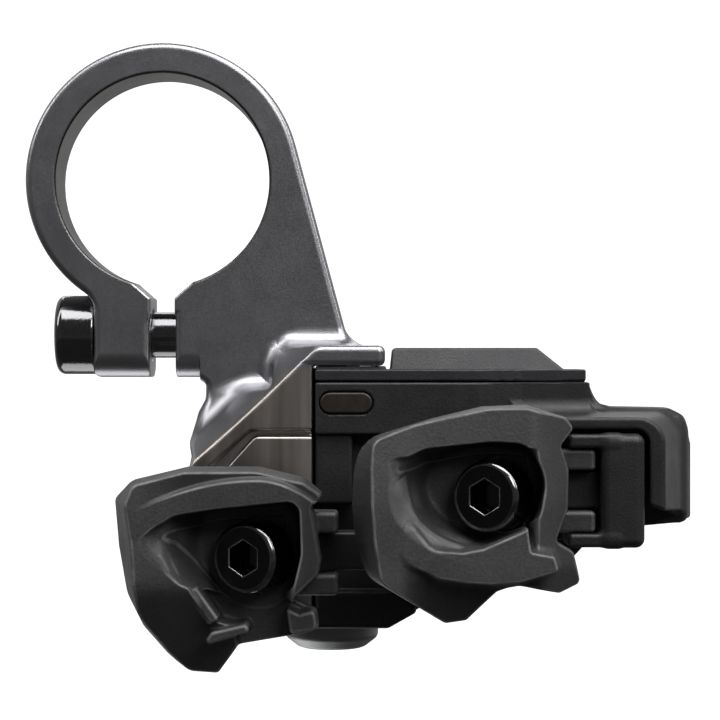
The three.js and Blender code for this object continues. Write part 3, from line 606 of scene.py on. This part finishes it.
def upper_lever():
    pin_x, z, head_x = UPPER.pin_x, UPPER.z, UPPER.head_x
    block = box((pin_x - 2, pin_x + 2.3), (-19.5, -11.4), (z - 5.6, z + 5.6), 0.9)
    flanges = [box((pin_x - 5.2, pin_x), (-19.3, -11.8), (z + low, z + low + 1.35), 0.4)
               for low in (-5.55, 4.2)]
    neck = prism([(head_x + 2, -17.7), (head_x + 5, -17.7, 1), (head_x + 7, -16.6, 1),
                  (pin_x - 1.5, -16.6), (pin_x - 1.5, -11.4), (head_x + 7.7, -11.4, 0.6),
                  (head_x + 6.5, -13.3, 0.6), (head_x + 2, -13.3)],
                 z - 1.9, z + 1.9, 0.35, "z")
    return finish_lever(join(0.5, block, neck, *flanges), UPPER)


def lower_lever():
    pin_x, z, head_x = LOWER.pin_x, LOWER.z, LOWER.head_x
    block = box((pin_x - 4.5, pin_x + 2.3), (-15.9, -11.4), (z - 4.1, z + 4.1), 0.8)
    neck = prism([(head_x + 2, -17.7), (head_x + 7.2, -17.7, 0.5), (head_x + 8.9, -15.2, 0.6),
                  (pin_x - 4, -15.2), (pin_x - 4, -11.4), (head_x + 7.7, -11.4, 0.6),
                  (head_x + 6.5, -13.3, 0.6), (head_x + 2, -13.3)],
                 z - 1.9, z + 1.9, 0.35, "z")
    return finish_lever(join(0.35, block, neck), LOWER)


# ---------- paddles ----------

BEYOND_FRONT = -40
POCKET_TOOL_END = -18.7
FRONT_SLOPE = 0.7  # a sloping height is scaled down so as not to overstate its distance
FLOOR_SLOPE = 0.6
FLOOR_EASE = 0.4  # how softly a scoop runs out onto the pocket's level floor

def offset(points, lever):
    """Outline given from the middle of a lever's head, moved there."""
    return [(lever.head_x + p[0], lever.z + p[1]) + tuple(p[2:]) for p in points]


def tapered(wide, crease):
    """Body whose outline changes from its widest section to the crease round its front."""
    wide, crease = arced(wide), arced(crease)
    reach = PADDLE_WIDEST - CREASE_Y

    def field(x, y, z):
        t = np.clip((PADDLE_WIDEST - y) / reach, 0, 1.15)
        side = (1 - t) * flat_distance(wide, x, z) + t * flat_distance(crease, x, z)
        return round_max(side, y - PADDLE_BACK, 0.5)
    return field


def smooth_step(value, low, high):
    """Eases from 0 at low to 1 at high."""
    t = np.clip((value - low) / (high - low), 0, 1)
    return t * t * (3 - 2 * t)


def ramp(r, value):
    """Zero for negative values and the value itself for positive ones, with a soft start."""
    return r * np.logaddexp(0, value / r)


def smooth_least(r, *values):
    """Smallest of several distances, with the crease between them rounded off."""
    return -r * np.logaddexp.reduce([-np.asarray(v, float) / r + 0 * values[0] for v in values])


def fork(lever, reach):
    """Two prongs behind a paddle that grip the lever's neck from above and below."""
    prongs = []
    for side in (-1, 1):
        low, high = sorted((lever.z + side * 2, lever.z + side * 4.1))
        prongs.append(box((lever.head_x + 4.6, lever.head_x + reach), (-18.7, -13.6),
                          (low, high), 0.45))
    room = tilted(rod("y", (0, 0), 3.4, 6, 14), lever)
    return cut(0.1, join(0, *prongs), room)


def bolt_seat(lever):
    """Room for the paddle bolt's head and shank."""
    return [tilted(rod("y", (0, 0), 3.9, -9, 4.05), lever),
            tilted(rod("y", (0, 0), 2.15, 3, 14), lever)]


UPPER_OUTLINE = [(-12.6, 1.6, 3), (-12.7, -1.2), (-12.4, -4.9), (-11.2, -8.3, 3),
                 (-3.7, -12.75, 0.6), (-1.6, -12.45, 0.6), (1.3, -9.6, 1), (3, -8.9, 2),
                 (7.4, -9.8, 0.6), (9.6, -8.9, 0.6), (8.8, -5.8, 0.6), (6.9, -4.6, 0.5), (8.2, -1.6, 1),
                 (8.3, 2.2, 1), (7.5, 4.6, 0.5), (8.9, 6.2, 0.5), (8.0, 7.3, 0.6), (4.3, 8.5, 2),
                 (0, 8.3), (-5, 7.1), (-11.9, 5.0, 3.5)]
UPPER_CREASE = [(-9.0, 5.8), (-10.7, 5.1, 1.2), (-11.0, 2.4), (-11.0, -1.0), (-10.7, -4.5),
                (-10.0, -8.4, 1.5), (-3.9, -12.2, 0.6), (-1.9, -11.9, 0.6), (1.1, -9.2, 0.8),
                (3.0, -8.6, 2), (7.2, -9.5, 0.6), (9.3, -8.7, 0.6), (8.6, -5.7, 0.6),
                (6.9, -4.6, 0.5), (8.0, -1.6, 1), (8.1, 2.2, 1), (7.4, 4.5, 0.5), (8.7, 6.2, 0.5),
                (7.7, 7.1, 0.6), (3.9, 8.1, 1.5), (0.6, 8.1), (-3.0, 7.4), (-6.6, 6.7)]
UPPER_POCKET = [(-12, -9), (-12, 4.3), (-7.6, 3.5, 2), (-5.6, 4.35, 3), (0.7, 5.0, 6),
                (4.4, 4.8, 2.5), (5.9, 1.2, 4), (5.2, -2.6, 3), (2.2, -4.5, 4), (-1.0, -5.5, 3),
                (-4.4, -5.6, 2.5), (-6.0, -6.6, 1), (-6.0, -9)]
UPPER_LIMB = [(-7.9, -3.4, 0.5), (-6.9, -3.2, 0.5), (-5.2, -5.3, 1.5), (-2.2, -5.5), (-0.2, -5.1),
              (3.2, -3.6), (4.0, -3.2), (4.3, -5.4, 0.3), (6.5, -5.8, 0.3), (6.9, -7.2, 0.4),
              (3.2, -8.3), (0.7, -8.5), (-1.7, -8.4), (-4.4, -8.0, 2), (-7.9, -6.2, 1.5)]


def pocket_level(level, depth):
    """Height of a pocket's floor, which stays just above the surface where it is shallow."""
    lift = 0.3 * smooth_step(-depth, -2.5, -1.2)
    return smooth_least(FLOOR_EASE, level + depth, POCKET_FLOOR) - lift


def pocketed(body, outline, floor):
    """Cuts a pocket with steep walls down to a sloping floor, given as a function of x and z."""
    def above_floor(x, y, z):
        return (y - floor(x, z)) * FLOOR_SLOPE
    room = prism(outline, BEYOND_FRONT, POCKET_TOOL_END)
    return cut(0.2, body, meet(0.6, room, above_floor))


def upper_paddle():
    lever = UPPER
    hx, hz = lever.head_x, lever.z
    shell = tapered(offset(UPPER_OUTLINE, lever), offset(UPPER_CREASE, lever))

    def level(x, z):
        u, v = x - hx, z - hz
        inward = smooth_least(1.2, u + 11.0, 3.4)
        chin = 0.55 * ramp(0.3, -v - 7.2) * smooth_step(u, -8.5, -5.5)
        fall = 1.2 * ramp(0.4, u - 5.4)
        return PADDLE_FRONT + 0.25 + 0.5 * inward + 0.12 * ramp(0.5, v) + chin + fall

    def scoop(x, z):
        u, v = x - hx, z - hz
        away = np.hypot((u - 0.6) / 1.45, v)
        dish = smooth_step(v + 0.5 * (u + 9.0), 0, 3) * smooth_step(u, -9.4, -7.4)
        return dish + 7.5 * smooth_step(-away, -6.8, -2.6)

    def front(x, y, z):
        u, v = x - hx, z - hz
        brow = np.interp(u, (-10, -7.6, -5.6, 0.7), (1.8, 3.4, 4.3, 4.9))
        opened = smooth_step(brow - v, 0.4, 1.6) * smooth_step(5.4 - u, 0.2, 1.4)
        deep = level(x, z) + scoop(x, z) * opened
        return (smooth_least(FLOOR_EASE, deep, POCKET_FLOOR) - y) * FRONT_SLOPE

    def floor(x, z):
        return pocket_level(level(x, z), scoop(x, z))
    body = pocketed(meet(0.2, shell, front), offset(UPPER_POCKET, lever), floor)
    limb = meet(0.22, prism(offset(UPPER_LIMB, lever), BEYOND_FRONT, -19, 0.3),
                half((hx, -26.9, hz - 6.5), (-0.13, -1, 0.12)))
    body = join(0.8, body, limb)
    body = join(0.3, body, fork(lever, 11.2))
    guard_room = box((35.8, 45), (-19.1, -17), (-26.2, -20))
    return cut(0.15, body, *bolt_seat(lever), guard_room)


LOWER_OUTLINE = [(-12.6, 5.6, 0.9), (-11.0, 7.3, 0.9), (-5.6, 8.6), (1.4, 8.6, 3), (5.9, 7.5, 1.5),
                 (8.1, 5.6, 0.6), (6.6, 5.1, 0.5), (7.5, -0.3), (7.3, -1.6, 1), (4.5, -4.2, 0.5),
                 (7.0, -5.3, 0.6), (7.3, -7.1, 0.6), (6.0, -7.6), (-0.6, -8.7, 0.5),
                 (-2.6, -11.5, 0.5), (-5.4, -11.3, 1.5), (-7.5, -9.4), (-9.8, -6.8, 3),
                 (-11.4, -3.6, 4), (-12.2, 1)]
LOWER_CREASE = [(-11.3, 5.3, 1.2), (-10.4, 7.2, 1.2), (-5.6, 8.3), (1.4, 8.3, 3), (5.7, 7.2, 1.5),
                (7.8, 5.5, 0.6), (6.5, 5.1, 0.5), (7.3, -0.3), (7.1, -1.6, 1), (4.5, -4.1, 0.5),
                (6.8, -5.2, 0.6), (7.1, -6.8, 0.6), (5.9, -7.3), (-0.8, -8.4, 0.5),
                (-2.9, -11.2, 0.5), (-4.5, -11.1, 0.8), (-8.1, -7.2), (-9.7, -5.5, 2),
                (-10.4, -2.3), (-10.7, 1.5)]
LOWER_POCKET = [(-12, -3), (-12, 2.2), (-9.2, 2.6, 2), (-6.4, 4.2, 3), (-2.5, 4.8), (2.4, 5.3),
                (5.4, 5.6, 1.2), (5.6, 0.4, 4), (4.9, -2.6, 2), (3.9, -4.1), (9, -4.6), (9, -10),
                (-0.4, -10), (-1.0, -6.6), (-3.2, -5.9, 0.4), (-5.1, -2.7, 0.4), (-7.5, -1.5)]


def lower_paddle():
    lever = LOWER
    hx, hz = lever.head_x, lever.z
    shell = tapered(offset(LOWER_OUTLINE, lever), offset(LOWER_CREASE, lever))

    def level(x, z):
        u, v = x - hx, z - hz
        inward = smooth_least(1.2, u + 10.6, 3.4)
        crest = 7.4 - np.where(u < 1.4, 0.022, 0.075) * (u - 1.4) ** 2
        over = v - crest
        behind_crest = 0.6 * smooth_step(over, 0, 0.6) - 0.25 * ramp(0.1, over - 0.6)
        behind_crest *= smooth_step(u, -10.5, -4.5)
        chin = 0.7 * ramp(0.5, -v - 3.0)
        fall = 1.2 * ramp(0.4, u - 5.2)
        return PADDLE_FRONT + 0.2 + 0.4 * inward + behind_crest + chin + fall

    def scoop(x, z):
        u, v = x - hx, z - hz
        away = np.hypot(u - 0.5, (v - 1.0) * 0.9)
        dish = 1.1 * smooth_step(v + 0.6 * (u + 9.5), 0, 3) * smooth_step(u, -10, -8)
        return dish + 6.0 * smooth_step(-away, -8.4, -3.8)

    def front(x, y, z):
        u, v = x - hx, z - hz
        brow = np.interp(u, (-12, -9.2, -6.4, -2.5, 5.4), (1.0, 2.4, 4.1, 4.7, 5.5))
        opened = smooth_step(brow - v, 0.4, 1.6) * smooth_step(5.2 - u, 0.2, 1.4)
        above_notch = smooth_step(v + 1.2 * (u + 5.3), -2.2, 0.5)
        deep = level(x, z) + scoop(x, z) * opened * above_notch
        return (smooth_least(FLOOR_EASE, deep, POCKET_FLOOR) - y) * FRONT_SLOPE

    def floor(x, z):
        u, v = x - hx, z - hz
        notch = 5.5 * smooth_step(-v, 1.5, 4.0) * smooth_step(u, -5.5, -3.5)
        return pocket_level(level(x, z), np.maximum(scoop(x, z), notch))
    body = pocketed(meet(0.25, shell, front), offset(LOWER_POCKET, lever), floor)
    rib = prism(offset([(-5.3, -2.9, 0.3), (-4.4, -2.7, 0.3), (-2.2, -5.8, 0.3),
                        (-3.1, -6.2, 0.3)], lever), -25.2, -20, 0.3)
    gusset = prism(offset([(-3.9, -8.3, 0.3), (-3.0, -7.0, 0.4), (0.5, -6.2, 0.4),
                           (0.6, -7.0, 0.3)], lever), -25.2, -20, 0.3)
    nub = prism(offset([(4.1, -4.9, 0.2), (5.4, -5.5, 0.3), (6.9, -5.1, 0.4), (7.1, -7.0, 0.4),
                        (4.5, -7.4, 0.4)], lever), -23.0, -20, 0.3)
    body = join(0.4, body, rib, gusset, nub)
    body = join(0.3, body, fork(lever, 9.1))
    return cut(0.15, body, *bolt_seat(lever))


# ---------- materials ----------

class Nodes:
    """Small helper that adds and wires shader nodes."""

    def __init__(self, name):
        self.material = bpy.data.materials.new(name)
        self.material.use_nodes = True
        self.tree = self.material.node_tree
        self.shader = self.tree.nodes["Principled BSDF"]
        self.place = self.add("ShaderNodeTexCoord").outputs["Object"]

    def add(self, kind, inputs=None, **settings):
        node = self.tree.nodes.new(kind)
        for key, value in settings.items():
            setattr(node, key, value)
        for key, value in (inputs or {}).items():
            if isinstance(value, bpy.types.NodeSocket):
                self.tree.links.new(value, node.inputs[key])
            else:
                node.inputs[key].default_value = value
        return node

    def noise(self, size_mm, detail=4, stretch=(1, 1, 1)):
        """Noise from 0 to 1 with features of about the given size."""
        moved = self.add("ShaderNodeMapping", {"Vector": self.place, "Scale": stretch})
        return self.add("ShaderNodeTexNoise", {
            "Vector": moved.outputs["Vector"], "Scale": 1000 / size_mm, "Detail": detail,
        }).outputs["Fac"]

    def spread(self, value, low, high, from_low=0.3, from_high=0.7):
        return self.add("ShaderNodeMapRange", {
            "Value": value, "From Min": from_low, "From Max": from_high, "To Min": low,
            "To Max": high}).outputs["Result"]

    def sum(self, a, b, operation="ADD"):
        return self.add("ShaderNodeMath", {0: a, 1: b}, operation=operation).outputs[0]

    def blend(self, amount, a, b, mode="MIX"):
        node = self.add("ShaderNodeMix", data_type="RGBA", blend_type=mode)
        for socket, value in zip((node.inputs[0], node.inputs[6], node.inputs[7]), (amount, a, b)):
            if isinstance(value, bpy.types.NodeSocket):
                self.tree.links.new(value, socket)
            else:
                socket.default_value = value
        return node.outputs[2]

    def set(self, name, value):
        if isinstance(value, bpy.types.NodeSocket):
            self.tree.links.new(value, self.shader.inputs[name])
        else:
            self.shader.inputs[name].default_value = value

    def worn_and_highlit_edge(self, amount, low=0.25, high=0.9):
        """Where an outer edge is sharp, broken up by noise: lightens edges as wear and as painted
        highlight.
        """
        edge = self.add("ShaderNodeAttribute", attribute_name="edge").outputs["Fac"]
        sharp = self.spread(edge, 0, amount, low, high)
        return self.sum(sharp, self.spread(self.noise(1.4), 0.35, 1.0), "MULTIPLY")


def linear(colour):
    """Colour of a finish, given as 0 to 255 display values."""
    channels = [c / 255 for c in colour]
    return tuple(c / 12.92 if c < 0.04 else ((c + 0.055) / 1.055) ** 2.4 for c in channels) + (1,)


def finish(name, colour, rough, metal=0.0, grain_mm=0.25, grain=0.25, patch=0.12, worn_and_highlit_colour=None,
           wear_and_highlight=0.5, stretch=(1, 1, 1), coat=0.0, specular=0.5):
    """Painted, moulded or machined finish with grain, blotches, uneven gloss, and sharp edges lightened
    as wear and as painted highlight.
    """
    n = Nodes(name)
    base = linear(colour)
    dark = tuple(c * (1 - patch) for c in base[:3]) + (1,)
    light = tuple(c * (1 + patch) for c in base[:3]) + (1,)
    blotches = n.spread(n.noise(7.0, 3, stretch), 0, 1)
    speckle = n.noise(grain_mm, 3, stretch)
    colour_now = n.blend(n.sum(blotches, n.spread(speckle, -0.5, 0.5), "ADD"), dark, light)
    # Sharp edges take the lighter colour, both as wear and as painted highlight along creases.
    if worn_and_highlit_colour is not None:
        colour_now = n.blend(n.worn_and_highlit_edge(wear_and_highlight), colour_now, linear(worn_and_highlit_colour))
    n.set("Base Color", colour_now)
    n.set("Metallic", metal)
    n.set("Specular IOR Level", specular)
    n.set("Coat Weight", coat)
    n.set("Coat Roughness", 0.2)
    smudge = n.spread(n.noise(3.5, 4), rough * 0.88, rough * 1.12)
    n.set("Roughness", n.sum(smudge, n.spread(speckle, -0.04, 0.04), "ADD"))
    bump = n.add("ShaderNodeBump", {"Strength": grain, "Distance": grain_mm * MM * 0.25,
                                    "Height": speckle})
    n.set("Normal", bump.outputs["Normal"])
    return n.material


def cast_aluminium():
    """Bead blasted and anodised grey metal: fine grain, a polished, streaked pod wall, and a bore wall
    coloured dark as painted shade and reflection.
    """
    n = Nodes("cast_aluminium")
    grain = n.noise(0.14, 2)
    body = n.blend(n.spread(n.noise(5, 3), 0, 1), linear((165, 165, 170)), linear((172, 171, 175)))
    body = n.blend(n.spread(grain, 0, 0.3), body, linear((190, 190, 192)))
    body = n.blend(n.worn_and_highlit_edge(0.3, 0.3, 0.9), body, linear((210, 209, 208)))
    depth = n.add("ShaderNodeSeparateXYZ", {"Vector": n.place}).outputs["Y"]
    wall_y = BAR_CENTRE.y + (FRONT_Y + 1.2) * MM
    facing = n.spread(depth, 1, 0, wall_y - 0.4 * MM, wall_y + 0.6 * MM)
    height = n.add("ShaderNodeSeparateXYZ", {"Vector": n.place}).outputs["Z"]
    flange_z = BAR_CENTRE.z - 19.5 * MM
    below = n.spread(height, 1, 0, flange_z - 0.5 * MM, flange_z)
    wall = n.sum(facing, below, "MULTIPLY")
    streaks = n.noise(1.3, 3, (1, 1, 0.06))
    brown = n.blend(n.spread(streaks, 0, 1, 0.35, 0.65), linear((170, 164, 158)),
                    linear((194, 187, 180)))
    # Painted shade and reflection: the wall of the bore is coloured much darker than the rest of the
    # bracket.
    away = n.add("ShaderNodeVectorMath", {0: n.place, 1: tuple(BAR_CENTRE)}, operation="SUBTRACT")
    flat = n.add("ShaderNodeVectorMath", {0: away.outputs["Vector"], 1: (1, 0, 1)},
                 operation="MULTIPLY")
    radius = n.add("ShaderNodeVectorMath", {0: flat.outputs["Vector"]}, operation="LENGTH")
    bore = n.spread(radius.outputs["Value"], 1, 0, (BAR_RADIUS + 0.1) * MM,
                    (BAR_RADIUS + 0.3) * MM)
    body = n.blend(bore, body, n.blend(n.spread(n.noise(4), 0, 1), linear((52, 49, 48)),
                                       linear((84, 79, 76))))
    n.set("Base Color", n.blend(wall, body, brown))
    n.set("Metallic", 1.0)
    blasted = n.sum(n.spread(n.noise(2.5, 3), 0.32, 0.35), n.spread(grain, -0.04, 0.04))
    polished = n.spread(streaks, 0.3, 0.36)
    n.set("Roughness", n.sum(n.sum(blasted, n.sum(1.0, wall, "SUBTRACT"), "MULTIPLY"),
                             n.sum(polished, wall, "MULTIPLY")))
    bump = n.add("ShaderNodeBump", {"Strength": 0.16, "Distance": 0.04 * MM, "Height": grain})
    n.set("Normal", bump.outputs["Normal"])
    return n.material


def rough_plastic(name, colour, rough, worn_and_highlit_colour):
    return finish(name, colour, rough, grain_mm=0.22, grain=0.5, patch=0.1, worn_and_highlit_colour=worn_and_highlit_colour, wear_and_highlight=0.35)


ALUMINIUM = cast_aluminium()
BLACK_STEEL = finish("blackened_steel", (52, 52, 54), 0.16, 1.0, 0.3, 0.1, 0.15, (215, 215, 215),
                     1.0)
POLISHED_STEEL = finish("polished_steel", (118, 118, 120), 0.14, 1.0, 0.3, 0.1, 0.08,
                        (190, 190, 190), 0.5)
SATIN_STEEL = finish("satin_steel", (150, 151, 152), 0.5, 1.0, 0.3, 0.15, 0.06, (190, 190, 190))
HOUSING = rough_plastic("housing_moulding", (36, 36, 37), 0.45, (60, 60, 62))
COVER = rough_plastic("cover_moulding", (42, 42, 45), 0.45, (70, 70, 73))
# Its light edge colour (130) along sharp creases is painted highlight as well as wear.
PADDLE = finish("paddle_moulding", (64, 64, 64), 0.48, 0, 0.3, 0.5, 0.15, (130, 130, 130), 0.8)
LEVER_BODY = rough_plastic("lever_moulding", (40, 40, 41), 0.42, (66, 66, 68))
RUBBER = finish("seal_rubber", (22, 22, 22), 0.8, 0, 0.2, 0.4, 0.2)
LENS = finish("smoked_lens", (40, 35, 31), 0.4, 0, 0.8, 0.03, 0.15, (54, 48, 42), 0.2, coat=0.1)
BOARD = finish("circuit_board", (22, 66, 42), 0.5, 0, 1.2, 0.2, 0.3)
NICKEL = finish("nickel_shield", (186, 189, 192), 0.28, 1.0, 0.4, 0.1, 0.1)
GOLD = finish("gold_contact", (200, 165, 74), 0.3, 1.0, 0.3, 0.1, 0.1)
BRONZE = finish("sintered_bronze", (138, 106, 58), 0.5, 0.7, 0.15, 0.4, 0.25)
LED = finish("led_lens", (233, 236, 228), 0.3, 0, 0.6, 0.05, 0.06)

CARRIED = {
    "coin_cell": NICKEL, "negative_contact": GOLD, "positive_contact": GOLD,
    "main_board": BOARD, "radio_module": NICKEL, "antenna": BOARD, "function_board": BOARD,
    "function_switch": NICKEL, "status_led": LED, "cover_gasket": RUBBER, "door_seal": RUBBER,
}
for side in ("upper", "lower"):
    CARRIED.update({
        side + "_switch": NICKEL, side + "_switch_cap": RUBBER, side + "_plunger": SATIN_STEEL,
        side + "_plunger_seal": RUBBER, side + "_hinge_pin": SATIN_STEEL,
        side + "_hinge_bush": BRONZE, side + "_return_spring": SATIN_STEEL,
    })
for i in range(len(SCREWS)):
    CARRIED["cover_screw_%d" % (i + 1)] = BLACK_STEEL
for node, material in CARRIED.items():
    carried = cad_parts[node]
    carried.data.materials.clear()
    carried.data.materials.append(material)

# ---------- the visible pieces ----------


def limits(name):
    """A CAD node's box in millimetres from the bar's centre."""
    return [[(corner[i] - BAR_CENTRE[i]) / MM for i in range(3)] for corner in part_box(name)]


def shell(name, field, cell, faces, body, material, slot):
    """Visible surface in place of the CAD node of that name."""
    low, high = limits(name)
    surface(name + "_surface", field, low, high, cell, faces, body, [name], material, slot)


shell("clamp_bracket", bracket(), 0.2, 60000, "pod", ALUMINIUM, "anodised_aluminium")
shell("clamp_bolt", clamp_bolt(), 0.13, 60000, "pod", POLISHED_STEEL, "black_steel")
shell("mounting_bolt", mounting_bolt(), 0.14, 24000, "pod", SATIN_STEEL, "satin_steel")
shell("front_housing", front_housing(), 0.2, 60000, "pod", HOUSING, "housing_plastic")
shell("rear_cover", rear_cover(), 0.2, 50000, "pod", COVER, "housing_plastic")
shell("battery_door", battery_door(), 0.16, 24000, "battery_lid", HOUSING, "housing_plastic")
shell("function_button", function_button(), 0.08, 8000, "function_key", LENS, "tinted_lens")
for side, lever, lever_field, paddle_field in (
        ("upper", UPPER, upper_lever(), upper_paddle()),
        ("lower", LOWER, lower_lever(), lower_paddle())):
    rides = side + "_paddle_lever"
    shell(side + "_lever", lever_field, 0.14, 30000, rides, LEVER_BODY, "lever_plastic")
    shell(side + "_paddle", paddle_field, 0.14, 60000, rides, PADDLE, "paddle_plastic")
    shell(side + "_paddle_bolt", paddle_bolt(lever), 0.1, 60000, rides, BLACK_STEEL,
          "black_steel")

# ---------- floor, light and camera ----------

OBJECT_LOW, OBJECT_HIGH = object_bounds()
MIDDLE = Vector([(a + b) / 2 for a, b in zip(OBJECT_LOW, OBJECT_HIGH)])
STUDIO_DARK = 0.04  # what the half of the studio behind the camera adds to reflections
STUDIO_LIGHT = 0.35  # the same for the wall behind the piece


def sweep():
    """Pale floor that curves up into a wall on every side, well away from the piece."""
    reach = 1.4
    bend = 0.35
    drop = 0.16
    height = 1.6
    profile = [(0.0, 0.0), (reach - bend, 0.0)]
    steps = 12
    for step in range(1, steps + 1):
        angle = math.pi / 2 * step / steps
        profile.append((reach - bend + bend * math.sin(angle), bend - bend * math.cos(angle)))
    profile.append((reach, height))
    around = 96
    points = []
    for radius, rise in profile[1:]:
        for i in range(around):
            angle = 2 * math.pi * i / around
            points.append((MIDDLE.x + radius * math.cos(angle), MIDDLE.y + radius * math.sin(angle),
                           OBJECT_LOW[2] - drop + rise))
    faces = [list(range(around))]
    for ring in range(len(profile) - 2):
        for i in range(around):
            j = (i + 1) % around
            faces.append([ring * around + i, ring * around + j, (ring + 1) * around + j,
                          (ring + 1) * around + i])
    mesh = bpy.data.meshes.new("floor")
    mesh.from_pydata(points, [], faces)
    mesh.polygons.foreach_set("use_smooth", [True] * len(mesh.polygons))
    floor = bpy.data.objects.new("floor", mesh)
    bpy.context.collection.objects.link(floor)
    n = Nodes("floor_paint")
    paint = n.blend(n.spread(n.noise(60), 0, 1), (0.86, 0.86, 0.86, 1), (0.9, 0.9, 0.9, 1))
    n.set("Specular IOR Level", 0)
    n.set("Roughness", 0.9)
    seen = n.add("ShaderNodeLightPath").outputs["Is Camera Ray"]
    n.set("Base Color", n.blend(seen, (0.2, 0.2, 0.2, 1), paint))
    n.set("Emission Color", (1, 1, 1, 1))
    depth = n.add("ShaderNodeSeparateXYZ", {"Vector": n.place}).outputs["Y"]
    glow = n.spread(depth, STUDIO_DARK, STUDIO_LIGHT, 0, 0.9)
    strength = n.add("ShaderNodeMix", {"A": glow, "B": 0.93, "Factor": seen})
    n.set("Emission Strength", strength.outputs["Result"])
    mesh.materials.append(n.material)


def soft_light(name, azimuth, elevation, distance, width, height, power):
    """Area lamp that looks at the piece; azimuth 0 is the photographer's side."""
    a, e = math.radians(azimuth), math.radians(elevation)
    lamp = bpy.data.lights.new(name, "AREA")
    lamp.shape = "RECTANGLE"
    lamp.size = width
    lamp.size_y = height
    lamp.energy = power
    holder = bpy.data.objects.new(name, lamp)
    bpy.context.collection.objects.link(holder)
    way = Vector((math.sin(a) * math.cos(e), -math.cos(a) * math.cos(e), math.sin(e)))
    holder.location = MIDDLE + way * distance
    holder.rotation_euler = way.to_track_quat("Z", "Y").to_euler()


LAMPS = (  # name, azimuth, elevation, distance, width, height and power
    ("overhead", 14, 69, 0.45, 0.5, 0.28, 2.0),
    ("upper_left", -78, 40, 0.5, 0.12, 0.4, 0.6),
    ("upper_right", 78, 38, 0.5, 0.12, 0.4, 0.6),
    ("under_clamp", -145, -55, 0.11, 0.06, 0.06, 0.02),
    ("lower_right", 80, -42, 0.5, 0.12, 0.3, 0.45),
    ("front_fill", 30, 32, 1.0, 0.5, 0.4, 3.0),
    ("back_fill", 180, 35, 0.7, 0.5, 0.3, 0.8),
)
sweep()
for lamp in LAMPS:
    soft_light(*lamp)

scene = bpy.context.scene
scene.view_settings.view_transform = "Standard"
world = bpy.data.worlds.new("studio")
world.use_nodes = True
world.node_tree.nodes["Background"].inputs["Color"].default_value = (1, 1, 1, 1)
world.node_tree.nodes["Background"].inputs["Strength"].default_value = 0.06
scene.world = world

CAMERA_FROM_BAR = Vector((20.55, -262.25, -18.75)) * MM
camera_data = bpy.data.cameras.new("camera")
camera_data.lens = 124
camera_data.sensor_width = 36
camera_data.clip_start = 0.01
camera_data.clip_end = 20
camera = bpy.data.objects.new("camera", camera_data)
camera.location = BAR_CENTRE + CAMERA_FROM_BAR
camera.rotation_euler = (math.pi / 2, 0, 0)
bpy.context.collection.objects.link(camera)
scene.camera = camera
